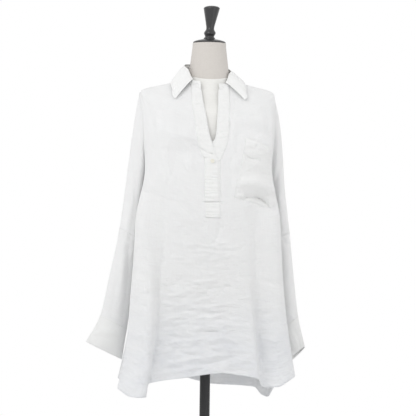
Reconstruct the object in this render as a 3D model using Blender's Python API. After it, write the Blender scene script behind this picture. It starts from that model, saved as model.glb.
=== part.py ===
"""A wide white pullover blouse, open at the neck, worn by a limbless dress form on a pole stand.

Metres, +Z up. The form's pole is the Z axis, the floor is Z = 0 and the front faces -Y. "Right" and
"left" are the wearer's, so the right sleeve hangs at -X. The blouse is one skin, cut into the pieces
that a maker sews: rings of the body run from the neck seam to the hem, and rings of each sleeve run
from the armhole to the cuff. Each piece takes its own stretch of the skin, gets its thickness
inwards, and stops a hair short of its seams.
"""

import math
from typing import NamedTuple

import bmesh
import bpy
import numpy as np

# Cloth and seams
CLOTH_THICK = 0.0014
DOUBLE_THICK = 0.0020
SEAM_GAP = 0.0002
LAYER_GAP = 0.0006
CUT_SNAP = 0.0004

# How finely the skin is divided
FRONT_COLUMNS = 36
BACK_COLUMNS = 30
SHOULDER_ROWS = 5
ARMHOLE_ROWS = 8
SKIRT_ROWS = 15
UPPER_SLEEVE_RINGS = 5
LOWER_SLEEVE_RINGS = 5
CUFF_RINGS = 2


class BodySection(NamedTuple):
    """One ring of the body. drop is the way down the cloth from the neck seam."""

    drop: float
    side_x: float
    side_z: float
    front_y: float
    front_z: float
    back_y: float
    back_z: float
    corner: float
    sway: float


BODY = (
    BodySection(0.000, 0.0620, 1.4000, 0.060, 1.366, 0.058, 1.410, 0.00, -0.0015),
    BodySection(0.035, 0.0960, 1.3880, 0.074, 1.343, 0.074, 1.388, 0.04, -0.0035),
    BodySection(0.118, 0.1755, 1.3605, 0.104, 1.281, 0.101, 1.322, 0.10, -0.0045),
    BodySection(0.240, 0.1670, 1.2430, 0.131, 1.175, 0.112, 1.208, 0.13, -0.0060),
    BodySection(0.358, 0.1580, 1.1250, 0.136, 1.070, 0.114, 1.096, 0.14, -0.0070),
    BodySection(0.490, 0.1630, 0.9900, 0.134, 0.955, 0.119, 0.972, 0.14, -0.0050),
    BodySection(0.640, 0.1750, 0.8420, 0.139, 0.835, 0.134, 0.832, 0.13, -0.0050),
    BodySection(0.760, 0.1890, 0.7220, 0.146, 0.735, 0.149, 0.712, 0.12, -0.0035),
    BodySection(0.865, 0.2090, 0.6200, 0.153, 0.642, 0.160, 0.600, 0.12, -0.0060),
)
SHOULDER_TIP = BODY[2]
UNDERARM = BODY[4]
HEM_DROP = BODY[-1].drop
SHOULDER_ROUNDNESS = 1.7
ARMHOLE_DEPTH = 0.070
ARMHOLE_POINT = 1.7

# The side seams open into short slits
SLIT_DROP = 0.780
SLIT_GAP = 0.004


class HemPoint(NamedTuple):
    """Height of the hem, by degrees round its half of the body from the right side."""

    turn: float
    front_z: float
    back_z: float


HEM = (
    HemPoint(0, 0.612, 0.614),
    HemPoint(15, 0.610, 0.614),
    HemPoint(28, 0.606, 0.616),
    HemPoint(33, 0.600, 0.617),
    HemPoint(37, 0.586, 0.618),
    HemPoint(41, 0.592, 0.618),
    HemPoint(46, 0.606, 0.618),
    HemPoint(51, 0.620, 0.617),
    HemPoint(75, 0.636, 0.612),
    HemPoint(90, 0.645, 0.602),
    HemPoint(100, 0.648, 0.594),
    HemPoint(112, 0.640, 0.592),
    HemPoint(120, 0.630, 0.590),
    HemPoint(126, 0.618, 0.588),
    HemPoint(131, 0.609, 0.586),
    HemPoint(137, 0.611, 0.566),
    HemPoint(142, 0.624, 0.562),
    HemPoint(147, 0.634, 0.586),
    HemPoint(153, 0.640, 0.612),
    HemPoint(180, 0.642, 0.630),
)
HEM_SWAY_DROP = 0.600


class Fold(NamedTuple):
    """A hanging fold. turn and spread are degrees round its half of the body, from the right side."""

    face: str
    turn_top: float
    turn_hem: float
    spread: float
    top: float
    full: float
    height: float
    lean: float


FOLDS = (
    Fold("front", 32, 34, 21, 0.27, 0.45, 0.042, 0.000),
    Fold("front", 40, 41, 11, 0.50, 0.80, 0.012, 0.034),
    Fold("front", 62, 63, 12, 0.52, 0.80, -0.014, 0.000),
    Fold("front", 98, 92, 15, 0.62, 0.86, 0.006, -0.004),
    Fold("front", 117, 116, 11, 0.44, 0.84, 0.013, 0.017),
    Fold("front", 131, 130, 9, 0.44, 0.80, -0.017, 0.004),
    Fold("front", 149, 148, 20, 0.26, 0.43, 0.038, 0.000),
    Fold("back", 27, 30, 22, 0.30, 0.60, 0.018, 0.000),
    Fold("back", 58, 55, 13, 0.34, 0.80, -0.014, 0.006),
    Fold("back", 82, 76, 15, 0.30, 0.84, 0.016, 0.008),
    Fold("back", 106, 108, 15, 0.36, 0.82, -0.014, 0.000),
    Fold("back", 130, 134, 13, 0.32, 0.84, 0.015, -0.008),
    Fold("back", 155, 154, 18, 0.30, 0.60, 0.014, 0.000),
)


class Drag(NamedTuple):
    """A short soft ridge or hollow across the front, along the line from one x, z to another."""

    x_from: float
    z_from: float
    x_to: float
    z_to: float
    width: float
    height: float


DRAGS = (
    Drag(-0.130, 1.222, -0.030, 1.196, 0.013, -0.0070),
    Drag(-0.115, 1.250, -0.045, 1.226, 0.020, 0.0040),
    Drag(0.070, 1.115, 0.140, 1.098, 0.014, 0.0080),
    Drag(0.085, 1.086, 0.142, 1.064, 0.013, -0.0090),
    Drag(0.080, 1.200, 0.135, 1.184, 0.012, -0.0045),
)


class SleeveSection(NamedTuple):
    """One ring of a sleeve: its outer (overarm) and inner (underarm) points and how far it bulges."""

    along: float
    outer_x: float
    outer_z: float
    inner_x: float
    inner_z: float
    middle_y: float
    front: float
    back: float
    front_lift: float


# along is 0 at the armhole, 1 at the elbow seam, 2 at the cuff's seam and 3 at the cuff's edge
RIGHT_SLEEVE = (
    SleeveSection(0.15, 0.1890, 1.310, 0.1745, 1.121, 0.000, 0.070, 0.078, 0.000),
    SleeveSection(0.40, 0.2010, 1.220, 0.1790, 1.096, 0.012, 0.062, 0.076, 0.000),
    SleeveSection(0.65, 0.2110, 1.130, 0.1810, 1.062, 0.022, 0.056, 0.070, 0.000),
    SleeveSection(1.00, 0.2270, 1.004, 0.1840, 0.975, 0.026, 0.052, 0.062, 0.000),
    SleeveSection(1.50, 0.2510, 0.885, 0.1925, 0.855, 0.026, 0.045, 0.052, 0.000),
    SleeveSection(2.00, 0.2740, 0.780, 0.2040, 0.746, 0.020, 0.036, 0.042, 0.000),
    SleeveSection(3.00, 0.3100, 0.714, 0.2160, 0.668, 0.014, 0.026, 0.030, 0.002),
)
LEFT_SLEEVE = (
    SleeveSection(0.15, 0.1850, 1.300, 0.1605, 1.121, 0.000, 0.070, 0.080, 0.000),
    SleeveSection(0.40, 0.1965, 1.214, 0.1650, 1.096, 0.013, 0.062, 0.077, 0.000),
    SleeveSection(0.65, 0.2050, 1.125, 0.1670, 1.062, 0.024, 0.056, 0.070, 0.000),
    SleeveSection(1.00, 0.2200, 1.000, 0.1715, 0.972, 0.028, 0.052, 0.062, 0.004),
    SleeveSection(1.50, 0.2345, 0.880, 0.1840, 0.850, 0.032, 0.044, 0.048, 0.004),
    SleeveSection(2.00, 0.2475, 0.780, 0.2010, 0.744, 0.034, 0.038, 0.038, 0.006),
    SleeveSection(3.00, 0.2670, 0.700, 0.2150, 0.655, 0.036, 0.032, 0.036, 0.012),
)


class BandSection(NamedTuple):
    """One height of the front bands: where the edges of the over band and the under band run."""

    z: float
    over_out: float
    over_in: float
    under_in: float
    under_out: float


BANDS = (
    BandSection(1.410, -0.0495, -0.0290, 0.0220, 0.0500),
    BandSection(1.334, -0.0520, -0.0210, 0.0160, 0.0465),
    BandSection(1.303, -0.0480, -0.0157, 0.0130, 0.0450),
    BandSection(1.252, -0.0425, -0.0080, 0.0080, 0.0420),
    BandSection(1.228, -0.0380, 0.0000, 0.0000, 0.0370),
    BandSection(1.205, -0.0300, 0.0080, -0.0100, 0.0280),
    BandSection(1.182, -0.0210, 0.0150, -0.0180, 0.0190),
)
V_POINT_Z = 1.228
OVER_BAND_END_Z = 1.0815
UNDER_BAND_END_Z = 1.0400
BAND_EDGE_TUCK = 0.004
BAND_START_DROP = 0.004

# Patch pocket on the left chest: its corners as x, z, round from the top inner one
POCKET = ((0.084, 1.243), (0.148, 1.219), (0.157, 1.160), (0.171, 1.079), (0.150, 1.067), (0.054, 1.092))
POCKET_MOUTH_GAP = 0.004
POCKET_MOUTH_DEPTH = 0.045

# Collar: a stand round the neck, and the leaf that turns down over it. Angles run from centre back.
STAND_END = math.radians(154)
LEAF_END = math.radians(136)
COLLAR_COLUMNS = 26
COLLAR_TILT = 0.085
COLLAR_SWAY = -0.0035


class CollarSection(NamedTuple):
    """One place round the collar, by its angle from centre back."""

    angle: float
    stand_top_z: float
    stand_top_x: float
    leaf_turn: float
    leaf_drop: float
    leaf_lift: float


COLLAR = (
    CollarSection(0, 1.4350, 0.0590, 90, 0.029, 0.0032),
    CollarSection(60, 1.4300, 0.0605, 30, 0.030, 0.0032),
    CollarSection(90, 1.4220, 0.0610, 0, 0.030, 0.0032),
    CollarSection(115, 1.4050, 0.0605, 37, 0.050, 0.0045),
    CollarSection(136, 1.3880, 0.0605, 55, 0.073, 0.0095),
    CollarSection(154, 1.3870, 0.0620, 66, 0.073, 0.0095),
)

# Button on the over band
BUTTON_X, BUTTON_Z = -0.0025, 1.1825
BUTTON_RADIUS, BUTTON_THICK = 0.0050, 0.0022


class FormSection(NamedTuple):
    """One ring of the dress form, from its flat underside to the top of its neck."""

    side_x: float
    side_z: float
    front_y: float
    front_z: float
    back_y: float
    back_z: float
    corner: float


FORM = (
    FormSection(0.1460, 0.7350, 0.090, 0.7350, 0.099, 0.7350, 0.05),
    FormSection(0.1500, 0.7400, 0.094, 0.7400, 0.103, 0.7400, 0.05),
    FormSection(0.1630, 0.8400, 0.108, 0.8400, 0.120, 0.8400, 0.05),
    FormSection(0.1480, 0.9350, 0.099, 0.9350, 0.106, 0.9350, 0.05),
    FormSection(0.1190, 1.0300, 0.089, 1.0300, 0.083, 1.0300, 0.05),
    FormSection(0.1270, 1.1000, 0.103, 1.1000, 0.089, 1.1000, 0.07),
    FormSection(0.1390, 1.1700, 0.121, 1.1650, 0.096, 1.1700, 0.10),
    FormSection(0.1470, 1.2350, 0.112, 1.2250, 0.099, 1.2350, 0.09),
    FormSection(0.1520, 1.3000, 0.099, 1.2750, 0.097, 1.2900, 0.08),
    FormSection(0.1590, 1.3480, 0.090, 1.3080, 0.087, 1.3300, 0.06),
    FormSection(0.1570, 1.3620, 0.085, 1.3200, 0.082, 1.3420, 0.05),
    FormSection(0.0960, 1.3845, 0.066, 1.3420, 0.064, 1.3800, 0.02),
    FormSection(0.0720, 1.3912, 0.058, 1.3560, 0.056, 1.3930, 0.00),
    FormSection(0.0580, 1.3965, 0.052, 1.3690, 0.051, 1.4000, 0.00),
    FormSection(0.0535, 1.4070, 0.049, 1.3870, 0.0485, 1.4100, 0.00),
    FormSection(0.0500, 1.4300, 0.0475, 1.4230, 0.0470, 1.4320, 0.00),
    FormSection(0.0425, 1.4920, 0.0425, 1.4920, 0.0425, 1.4920, 0.00),
)
FORM_COLUMNS = 32
FORM_TOP_Z = FORM[-1].side_z
FORM_BOTTOM_Z = FORM[0].side_z
BUST_TURN, BUST_SPREAD, BUST_Z, BUST_TALL, BUST_HEIGHT = 27, 17, 1.168, 0.050, 0.011

# Stand: neck cap with a turned finial, pole and round base
PART_GAP = 0.0003
CAP_RADIUS = 0.0425
FINIAL_LEAN, LEAN_FROM = 0.065, 0.012
POLE_RADIUS = 0.0133
BASE_RADIUS = 0.190
BASE_THICK = 0.008
HUB_RADIUS, HUB_TOP_Z = 0.024, 0.034
ROUND_STEPS = 28

WHITE_CLOTH = ("blouse_cloth", (0.90, 0.91, 0.92, 1.0), 0.85, 0.0)
WHITE_DOUBLE = ("blouse_double_cloth", (0.95, 0.95, 0.95, 1.0), 0.80, 0.0)
SHELL_BUTTON = ("shell_button", (0.88, 0.86, 0.78, 1.0), 0.30, 0.0)
FORM_LINEN = ("form_linen", (0.80, 0.77, 0.73, 1.0), 0.90, 0.0)
BLACK_WOOD = ("black_wood", (0.015, 0.015, 0.017, 1.0), 0.35, 0.0)
BLACK_STEEL = ("black_steel", (0.020, 0.020, 0.022, 1.0), 0.40, 0.6)


def clear_scene():
    """Removes whatever the file opened with."""
    for thing in list(bpy.data.objects):
        bpy.data.objects.remove(thing)


def material(finish):
    """The Principled material of a finish: its name, colour, roughness and metallic value."""
    name, colour, roughness, metallic = finish
    made = bpy.data.materials.get(name) or bpy.data.materials.new(name)
    made.use_nodes = True
    shader = made.node_tree.nodes["Principled BSDF"]
    shader.inputs["Base Color"].default_value = colour
    shader.inputs["Roughness"].default_value = roughness
    shader.inputs["Metallic"].default_value = metallic
    made.diffuse_color = colour
    return made


def add_object(name, points, faces, finish, smooth_shaded=True):
    """Puts a mesh into the scene as one named piece."""
    mesh = bpy.data.meshes.new(name)
    mesh.from_pydata(np.asarray(points).tolist(), [], [[int(k) for k in face] for face in faces])
    mesh.materials.append(material(finish))
    if smooth_shaded:
        mesh.shade_smooth()
        mesh.set_sharp_from_angle(angle=math.radians(50))
    piece = bpy.data.objects.new(name, mesh)
    bpy.context.scene.collection.objects.link(piece)
    return piece


def smooth_between(knots, values, at):
    """Monotone cubic through the knots: tangents are harmonic means of the slopes either side."""
    knots = np.asarray(knots, float)
    values = np.asarray(values, float)
    at = np.asarray(at, float)
    steps = np.diff(knots)
    slopes = np.diff(values) / steps
    before, after = slopes[:-1], slopes[1:]
    same_way = before * after > 0
    inner = np.where(same_way, 2 * before * after / np.where(same_way, before + after, 1), 0)
    tangents = np.concatenate([slopes[:1], inner, slopes[-1:]])
    span = np.clip(np.searchsorted(knots, at, side="right") - 1, 0, len(steps) - 1)
    step = steps[span]
    u = (at - knots[span]) / step
    return (
        values[span] * (1 + 2 * u) * (1 - u) ** 2
        + tangents[span] * step * u * (1 - u) ** 2
        + values[span + 1] * u * u * (3 - 2 * u)
        + tangents[span + 1] * step * u * u * (u - 1)
    )


def column(table, name, at):
    """A table's named column, smoothly between its rows, whose places are the first column."""
    return smooth_between([row[0] for row in table], [getattr(row, name) for row in table], at)


def ramp(value, start, end):
    """0 before start, 1 after end and a smooth rise between them."""
    share = np.clip((value - start) / (end - start), 0, 1)
    return share * share * (3 - 2 * share)


def bump(offset):
    """1 at offset 0, falling smoothly to 0 at offset 1 either way."""
    return np.where(np.abs(offset) < 1, np.cos(np.clip(offset, -1, 1) * math.pi / 2) ** 2, 0)


def drag_height(x, z):
    """Sum of the short drag lines: each a soft bell across its line, fading past the line's ends."""
    total = np.zeros_like(x)
    for drag in DRAGS:
        line = np.array([drag.x_to - drag.x_from, drag.z_to - drag.z_from])
        length = np.hypot(*line)
        along = ((x - drag.x_from) * line[0] + (z - drag.z_from) * line[1]) / length
        across = (-(x - drag.x_from) * line[1] + (z - drag.z_from) * line[0]) / length
        past = np.maximum(np.maximum(-along, along - length), 0)
        total += drag.height * np.exp(-((across / drag.width) ** 2) - (past / (2 * drag.width)) ** 2)
    return total


def body_skin(face, turn, drop):
    """Outer face of the body at an angle round its half (0 at the right side, pi at the left) and a
    drop from the neck seam. Each ring is half an ellipse with its corners pushed out, on which the
    hanging folds stand along its normal and lean along its tangent."""
    turn, drop = np.broadcast_arrays(np.asarray(turn, float), np.asarray(drop, float))
    way = -1.0 if face == "front" else 1.0
    reach = column(BODY, face + "_y", drop)
    middle_z = column(BODY, face + "_z", drop)
    side_x = column(BODY, "side_x", drop)
    side_z = column(BODY, "side_z", drop)
    down_arm = (drop - SHOULDER_TIP.drop) / (UNDERARM.drop - SHOULDER_TIP.drop)
    in_armhole = (down_arm >= 0) & (down_arm <= 1)
    level = np.clip(down_arm, 0, 1)
    side_x = np.where(in_armhole, SHOULDER_TIP.side_x + (UNDERARM.side_x - SHOULDER_TIP.side_x) * level, side_x)
    side_z = np.where(in_armhole, SHOULDER_TIP.side_z + (UNDERARM.side_z - SHOULDER_TIP.side_z) * level, side_z)
    sway = column(BODY, "sway", drop)
    sway = np.where(in_armhole, SHOULDER_TIP.sway + (UNDERARM.sway - SHOULDER_TIP.sway) * level, sway)
    open_y = ARMHOLE_DEPTH * np.clip(1 - (2 * level - 1) ** 2, 0, 1) ** (ARMHOLE_POINT / 2)
    slit = SLIT_GAP / 2 * ramp(drop, SLIT_DROP, HEM_DROP)

    sine, cosine = np.sin(turn), np.cos(turn)
    full = 1 + column(BODY, "corner", drop) * np.sin(2 * turn) ** 2
    x = -side_x * cosine * full
    y = way * (open_y + (reach - open_y) * sine * full + slit * (1 - sine) ** 4)
    rise = np.abs(sine) ** SHOULDER_ROUNDNESS
    z = side_z + (middle_z - side_z) * rise
    plain_hem = BODY[-1].side_z + (getattr(BODY[-1], face + "_z") - BODY[-1].side_z) * rise
    hem_z = column(HEM, face + "_z", np.degrees(turn))
    z = z + (hem_z - plain_hem) * np.clip((drop - HEM_SWAY_DROP) / (HEM_DROP - HEM_SWAY_DROP), 0, 1) ** 1.5

    out_x, out_y = -cosine / side_x, way * sine / reach
    size = np.hypot(out_x, out_y)
    out_x, out_y = out_x / size, out_y / size
    for fold in FOLDS:
        if fold.face != face:
            continue
        grown = ramp(drop, fold.top, fold.full)
        centre = fold.turn_top + (fold.turn_hem - fold.turn_top) * ramp(drop, fold.top, HEM_DROP)
        shape = grown * bump((np.degrees(turn) - centre) / fold.spread)
        x = x + shape * (fold.height * out_x + way * fold.lean * out_y)
        y = y + shape * (fold.height * out_y - way * fold.lean * out_x)
    if face == "front":
        y = y - drag_height(x, z) * ramp(sine, 0.0, 0.4)
    return np.stack([x + sway, y, z], axis=-1)


def sleeve_skin(side, face, around, along):
    """Outer face of a sleeve. around is 0 on the overarm line and pi on the underarm line, and each
    ring is half an ellipse between them. Ring 0 is the armhole itself."""
    around, along = np.broadcast_arrays(np.asarray(around, float), np.asarray(along, float))
    table = RIGHT_SLEEVE if side < 0 else LEFT_SLEEVE
    armhole = SleeveSection(
        0.0,
        SHOULDER_TIP.side_x + side * SHOULDER_TIP.sway,
        SHOULDER_TIP.side_z,
        UNDERARM.side_x + side * UNDERARM.sway,
        UNDERARM.side_z,
        0.0,
        ARMHOLE_DEPTH,
        ARMHOLE_DEPTH,
        0.0,
    )
    rings = (armhole, *table)
    outer_x, inner_x = column(rings, "outer_x", along), column(rings, "inner_x", along)
    outer_z, inner_z = column(rings, "outer_z", along), column(rings, "inner_z", along)
    way = -1.0 if face == "front" else 1.0
    bulge = column(rings, face, along)
    sine, cosine = np.sin(around), np.cos(around)
    x = (outer_x + inner_x) / 2 + (outer_x - inner_x) / 2 * cosine
    pointed = 1 + (ARMHOLE_POINT - 1) * np.clip(1 - along, 0, 1)
    y = column(rings, "middle_y", along) + way * bulge * np.clip(sine, 0, 1) ** pointed
    z = (outer_z + inner_z) / 2 + (outer_z - inner_z) / 2 * cosine
    z = z - way * column(rings, "front_lift", along) * sine
    return np.stack([side * x, y, z], axis=-1)


def armhole_drops():
    """Drops of the body's rows between the shoulder tip and the underarm, even round the armhole."""
    round_it = np.linspace(0, math.pi, ARMHOLE_ROWS + 1)
    return SHOULDER_TIP.drop + (UNDERARM.drop - SHOULDER_TIP.drop) * (1 - np.cos(round_it)) / 2


def body_drops():
    """Drops of all the body's rows, from the neck seam to the hem."""
    above = np.linspace(0, SHOULDER_TIP.drop, SHOULDER_ROWS + 1)[:-1]
    below = np.linspace(UNDERARM.drop, HEM_DROP, SKIRT_ROWS + 1)[1:]
    return np.concatenate([above, armhole_drops(), below])


def front_turns():
    """Angles of the front's columns, closer together where the two deep folds hang."""
    fine = np.linspace(0, 180, 361)
    density = 1 + 0.9 * bump((fine - 46) / 18) + 0.7 * bump((fine - 126) / 18)
    total = np.concatenate([[0], np.cumsum(density[1:] + density[:-1])])
    return np.radians(np.interp(np.linspace(0, total[-1], FRONT_COLUMNS + 1), total, fine))


def grid_faces(rows, columns, first=0):
    """Two triangles for each cell of a grid whose points run along its rows."""
    index = first + np.arange(rows * columns).reshape(rows, columns)
    a, b, c, d = index[:-1, :-1], index[:-1, 1:], index[1:, 1:], index[1:, :-1]
    both = np.stack([np.stack([a, d, c], -1), np.stack([a, c, b], -1)], axis=2)
    return both.reshape(-1, 3)


class Skin:
    """Grids of points welded into one surface, whose normals every piece of the blouse shares."""

    def __init__(self):
        self.points, self.faces, self.names = [], [], []
        self.count = 0

    def add(self, name, grid, flip=False):
        """Adds a grid to a piece. Its triangles face the side from which rows go down, columns right."""
        rows, columns = grid.shape[:2]
        faces = grid_faces(rows, columns, self.count)
        self.points.append(grid.reshape(-1, 3))
        self.faces.append(faces[:, ::-1] if flip else faces)
        self.names += [name] * len(faces)
        self.count += rows * columns

    def weld(self):
        """Makes one point of those that share a place, and works out a normal at each."""
        points = np.concatenate(self.points)
        faces = np.concatenate(self.faces)
        keys = np.round(points * 1e5).astype(np.int64)
        _, first, index = np.unique(keys, axis=0, return_index=True, return_inverse=True)
        self.all_points = points[first]
        faces = index.reshape(-1)[faces]
        whole = (faces[:, 0] != faces[:, 1]) & (faces[:, 1] != faces[:, 2]) & (faces[:, 0] != faces[:, 2])
        self.all_faces = faces[whole]
        self.all_names = np.array(self.names)[whole]
        self.normals = point_normals(self.all_points, self.all_faces)

    def piece(self, name):
        """Points, faces and normals of one piece."""
        faces = self.all_faces[self.all_names == name]
        used, index = np.unique(faces, return_inverse=True)
        return self.all_points[used], index.reshape(-1, 3), self.normals[used]


def point_normals(points, faces):
    """Normal at each point, from the faces round it weighted by their angle at the point."""
    corners = points[faces]
    across = np.cross(corners[:, 1] - corners[:, 0], corners[:, 2] - corners[:, 0])
    across /= np.maximum(np.linalg.norm(across, axis=1, keepdims=True), 1e-15)
    normals = np.zeros_like(points)
    for k in range(3):
        one = corners[:, (k + 1) % 3] - corners[:, k]
        two = corners[:, (k + 2) % 3] - corners[:, k]
        size = np.linalg.norm(one, axis=1) * np.linalg.norm(two, axis=1)
        angle = np.arccos(np.clip((one * two).sum(axis=1) / size, -1, 1))
        np.add.at(normals, faces[:, k], across * angle[:, None])
    return normals / np.linalg.norm(normals, axis=1, keepdims=True)


def open_edges(faces):
    """Directed edges that only one triangle has, each in its triangle's direction."""
    ends = np.concatenate([faces[:, [0, 1]], faces[:, [1, 2]], faces[:, [2, 0]]])
    _, index, uses = np.unique(np.sort(ends, axis=1), axis=0, return_inverse=True, return_counts=True)
    return ends[uses[index.reshape(-1)] == 1]


def wall(points, faces, normals, thick, gap=SEAM_GAP):
    """A closed wall under a surface: the surface itself, a copy moved inwards and a rim between them.
    Its rim is first drawn back from the seam by a gap."""
    edges = open_edges(faces)
    rim = np.unique(edges)
    inwards = np.zeros_like(points)
    for k in range(3):
        np.add.at(inwards, faces[:, k], points[faces].mean(axis=1) - points[faces[:, k]])
    size = np.maximum(np.linalg.norm(inwards[rim], axis=1, keepdims=True), 1e-9)
    outer = points.copy()
    outer[rim] += inwards[rim] / size * gap
    inner = outer - normals * thick
    many = len(points)
    strip = np.concatenate(
        [
            np.stack([edges[:, 1], edges[:, 0], edges[:, 0] + many], axis=1),
            np.stack([edges[:, 1], edges[:, 0] + many, edges[:, 1] + many], axis=1),
        ]
    )
    return np.concatenate([outer, inner]), np.concatenate([faces, faces[:, ::-1] + many, strip])


def sheet_wall(name, grid, thick, finish, gap=0.0, flip=False):
    """A separate cloth piece from its own grid of outer points."""
    points = grid.reshape(-1, 3)
    faces = grid_faces(*grid.shape[:2])
    if flip:
        faces = faces[:, ::-1]
    solid = wall(points, faces, point_normals(points, faces), thick, gap)
    return add_object(name, *solid, finish)


def cut_out(points, faces, normals, outline, keep_inside):
    """Cuts triangles along an outline drawn from the front as x, z corners, and keeps those inside or
    outside it. Normals are carried over to the new points."""
    mesh = bmesh.new()
    carried = mesh.verts.layers.float_vector.new("out")
    for point, normal in zip(points.tolist(), normals.tolist()):
        mesh.verts.new(point)[carried] = normal
    mesh.verts.ensure_lookup_table()
    for face in faces.tolist():
        mesh.faces.new([mesh.verts[k] for k in face])
    corners = np.array(outline)
    for start, end in zip(corners, np.roll(corners, -1, axis=0)):
        low, high = np.minimum(start, end), np.maximum(start, end)
        near = []
        for face in mesh.faces:
            x = [corner.co.x for corner in face.verts]
            z = [corner.co.z for corner in face.verts]
            if min(x) <= high[0] and max(x) >= low[0] and min(z) <= high[1] and max(z) >= low[1]:
                near.append(face)
        edges = {edge for face in near for edge in face.edges}
        verts = {vert for face in near for vert in face.verts}
        across = np.array((end[1] - start[1], 0.0, start[0] - end[0]))
        bmesh.ops.bisect_plane(
            mesh,
            geom=[*near, *edges, *verts],
            dist=CUT_SNAP,
            plane_co=(start[0], 0.0, start[1]),
            plane_no=across / np.linalg.norm(across),
        )
    bmesh.ops.triangulate(mesh, faces=mesh.faces)
    mesh.verts.index_update()
    cut_points = np.array([vert.co[:] for vert in mesh.verts])
    cut_normals = np.array([vert[carried][:] for vert in mesh.verts])
    cut_faces = np.array([[vert.index for vert in face.verts] for face in mesh.faces])
    mesh.free()
    centre = cut_points[cut_faces].mean(axis=1)
    inside = np.zeros(len(cut_faces), bool)
    for start, end in zip(corners, np.roll(corners, -1, axis=0)):
        if start[1] == end[1]:
            continue
        spans = (start[1] > centre[:, 2]) != (end[1] > centre[:, 2])
        cross_x = start[0] + (centre[:, 2] - start[1]) * (end[0] - start[0]) / (end[1] - start[1])
        inside ^= spans & (centre[:, 0] < cross_x)
    kept = cut_faces[inside == keep_inside]
    used, index = np.unique(kept, return_inverse=True)
    return cut_points[used], index.reshape(-1, 3), cut_normals[used]


def front_panel(first_drop, turn_from, turn_to):
    """The front's own grid between two angles, from a drop below the neck seam, with its normals."""
    turns = front_turns()
    turns = turns[(turns >= math.radians(turn_from)) & (turns <= math.radians(turn_to))]
    drops = body_drops()
    drops[0] = first_drop
    grid = body_skin("front", turns[None, :], drops[:, None])
    points, faces = grid.reshape(-1, 3), grid_faces(*grid.shape[:2])
    return points, faces, point_normals(points, faces)


def add_body(skin):
    """Front and back of the body, each with its halves of the upper sleeves."""
    drops = body_drops()
    skin.add("front", body_skin("front", front_turns()[None, :], drops[:, None]))
    turns = np.linspace(0, math.pi, BACK_COLUMNS + 1)
    skin.add("back", body_skin("back", turns[None, :], drops[:, None]), flip=True)
    around = np.linspace(0, math.pi, ARMHOLE_ROWS + 1)
    rings = np.linspace(0, 1, UPPER_SLEEVE_RINGS + 1)
    for side in (-1, 1):
        for face in ("front", "back"):
            grid = sleeve_skin(side, face, around[None, :], rings[:, None])
            skin.add(face, grid, flip=(side < 0) != (face == "front"))


def add_lower_sleeves(skin):
    """Lower sleeves and cuffs, each a tube of a front and a back half."""
    around = np.linspace(0, math.pi, ARMHOLE_ROWS + 1)
    stretches = (("sleeve", 1, 2, LOWER_SLEEVE_RINGS), ("cuff", 2, 3, CUFF_RINGS))
    for side, word in ((-1, "right"), (1, "left")):
        for part, start, end, count in stretches:
            rings = np.linspace(start, end, count + 1)
            for face in ("front", "back"):
                grid = sleeve_skin(side, face, around[None, :], rings[:, None])
                skin.add(f"{part}_{word}", grid, flip=(side < 0) != (face == "front"))


def make_garment():
    """Cuts the skin into its pieces, the V out of the front, and gives each piece its thickness."""
    skin = Skin()
    add_body(skin)
    add_lower_sleeves(skin)
    skin.weld()
    for name in ("front", "back", "sleeve_right", "sleeve_left", "cuff_right", "cuff_left"):
        thick = DOUBLE_THICK if name.startswith("cuff") else CLOTH_THICK
        finish = WHITE_DOUBLE if name.startswith("cuff") else WHITE_CLOTH
        points, faces, normals = skin.piece(name)
        if name == "front":
            points, faces, normals = cut_out(points, faces, normals, v_outline(), False)
        add_object(name, *wall(points, faces, normals, thick), finish)


def v_outline():
    """Edge of the V opening, tucked back under the bands."""
    rows = [row for row in BANDS if row.z >= V_POINT_Z]
    right = [(row.over_in - BAND_EDGE_TUCK, row.z) for row in rows[:-1]]
    left = [(row.under_in + BAND_EDGE_TUCK, row.z) for row in rows[:-1]]
    return [*right, (0.0, V_POINT_Z + BAND_EDGE_TUCK), *left[::-1]]


def band_outline(left, right, end_z):
    """Edge of a band from the neck down to its end: its two named edges, as seen from the front."""
    low = [(getattr(BANDS[-1], left), end_z), (getattr(BANDS[-1], right), end_z)]
    return [*[(getattr(row, left), row.z) for row in BANDS], *low, *[(getattr(row, right), row.z) for row in BANDS[::-1]]]


def make_bands():
    """The two front bands. Below the V's point the over band lies on the under band."""
    panel = front_panel(BAND_START_DROP, 60, 120)
    one = LAYER_GAP + DOUBLE_THICK
    points, faces, normals = cut_out(*panel, band_outline("under_in", "under_out", UNDER_BAND_END_Z), True)
    add_object("band_under", *wall(points + normals * one, faces, normals, DOUBLE_THICK, 0.0), WHITE_DOUBLE)
    points, faces, normals = cut_out(*panel, band_outline("over_out", "over_in", OVER_BAND_END_Z), True)
    lift = one * (1 + ramp(-points[:, 2:], -V_POINT_Z - 0.030, -V_POINT_Z - 0.006))
    add_object("band_over", *wall(points + normals * lift, faces, normals, DOUBLE_THICK, 0.0), WHITE_DOUBLE)


def make_pocket():
    """The patch pocket, sewn down on three sides and standing a little open at its mouth."""
    points, faces, normals = cut_out(*front_panel(BAND_START_DROP, 90, 156), POCKET, True)
    start, end = np.array(POCKET[0]), np.array(POCKET[1])
    line = (end - start) / np.linalg.norm(end - start)
    away = points[:, [0, 2]] - start
    along = (away @ line) / np.linalg.norm(end - start)
    below = np.abs(away[:, 0] * line[1] - away[:, 1] * line[0])
    mouth = POCKET_MOUTH_GAP * np.clip(1 - below / POCKET_MOUTH_DEPTH, 0, 1) ** 2
    mouth = mouth * np.sin(math.pi * np.clip(along, 0, 1))
    lift = LAYER_GAP + CLOTH_THICK + mouth
    add_object("pocket", *wall(points + normals * lift[:, None], faces, normals, CLOTH_THICK, 0.0), WHITE_DOUBLE)


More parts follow.
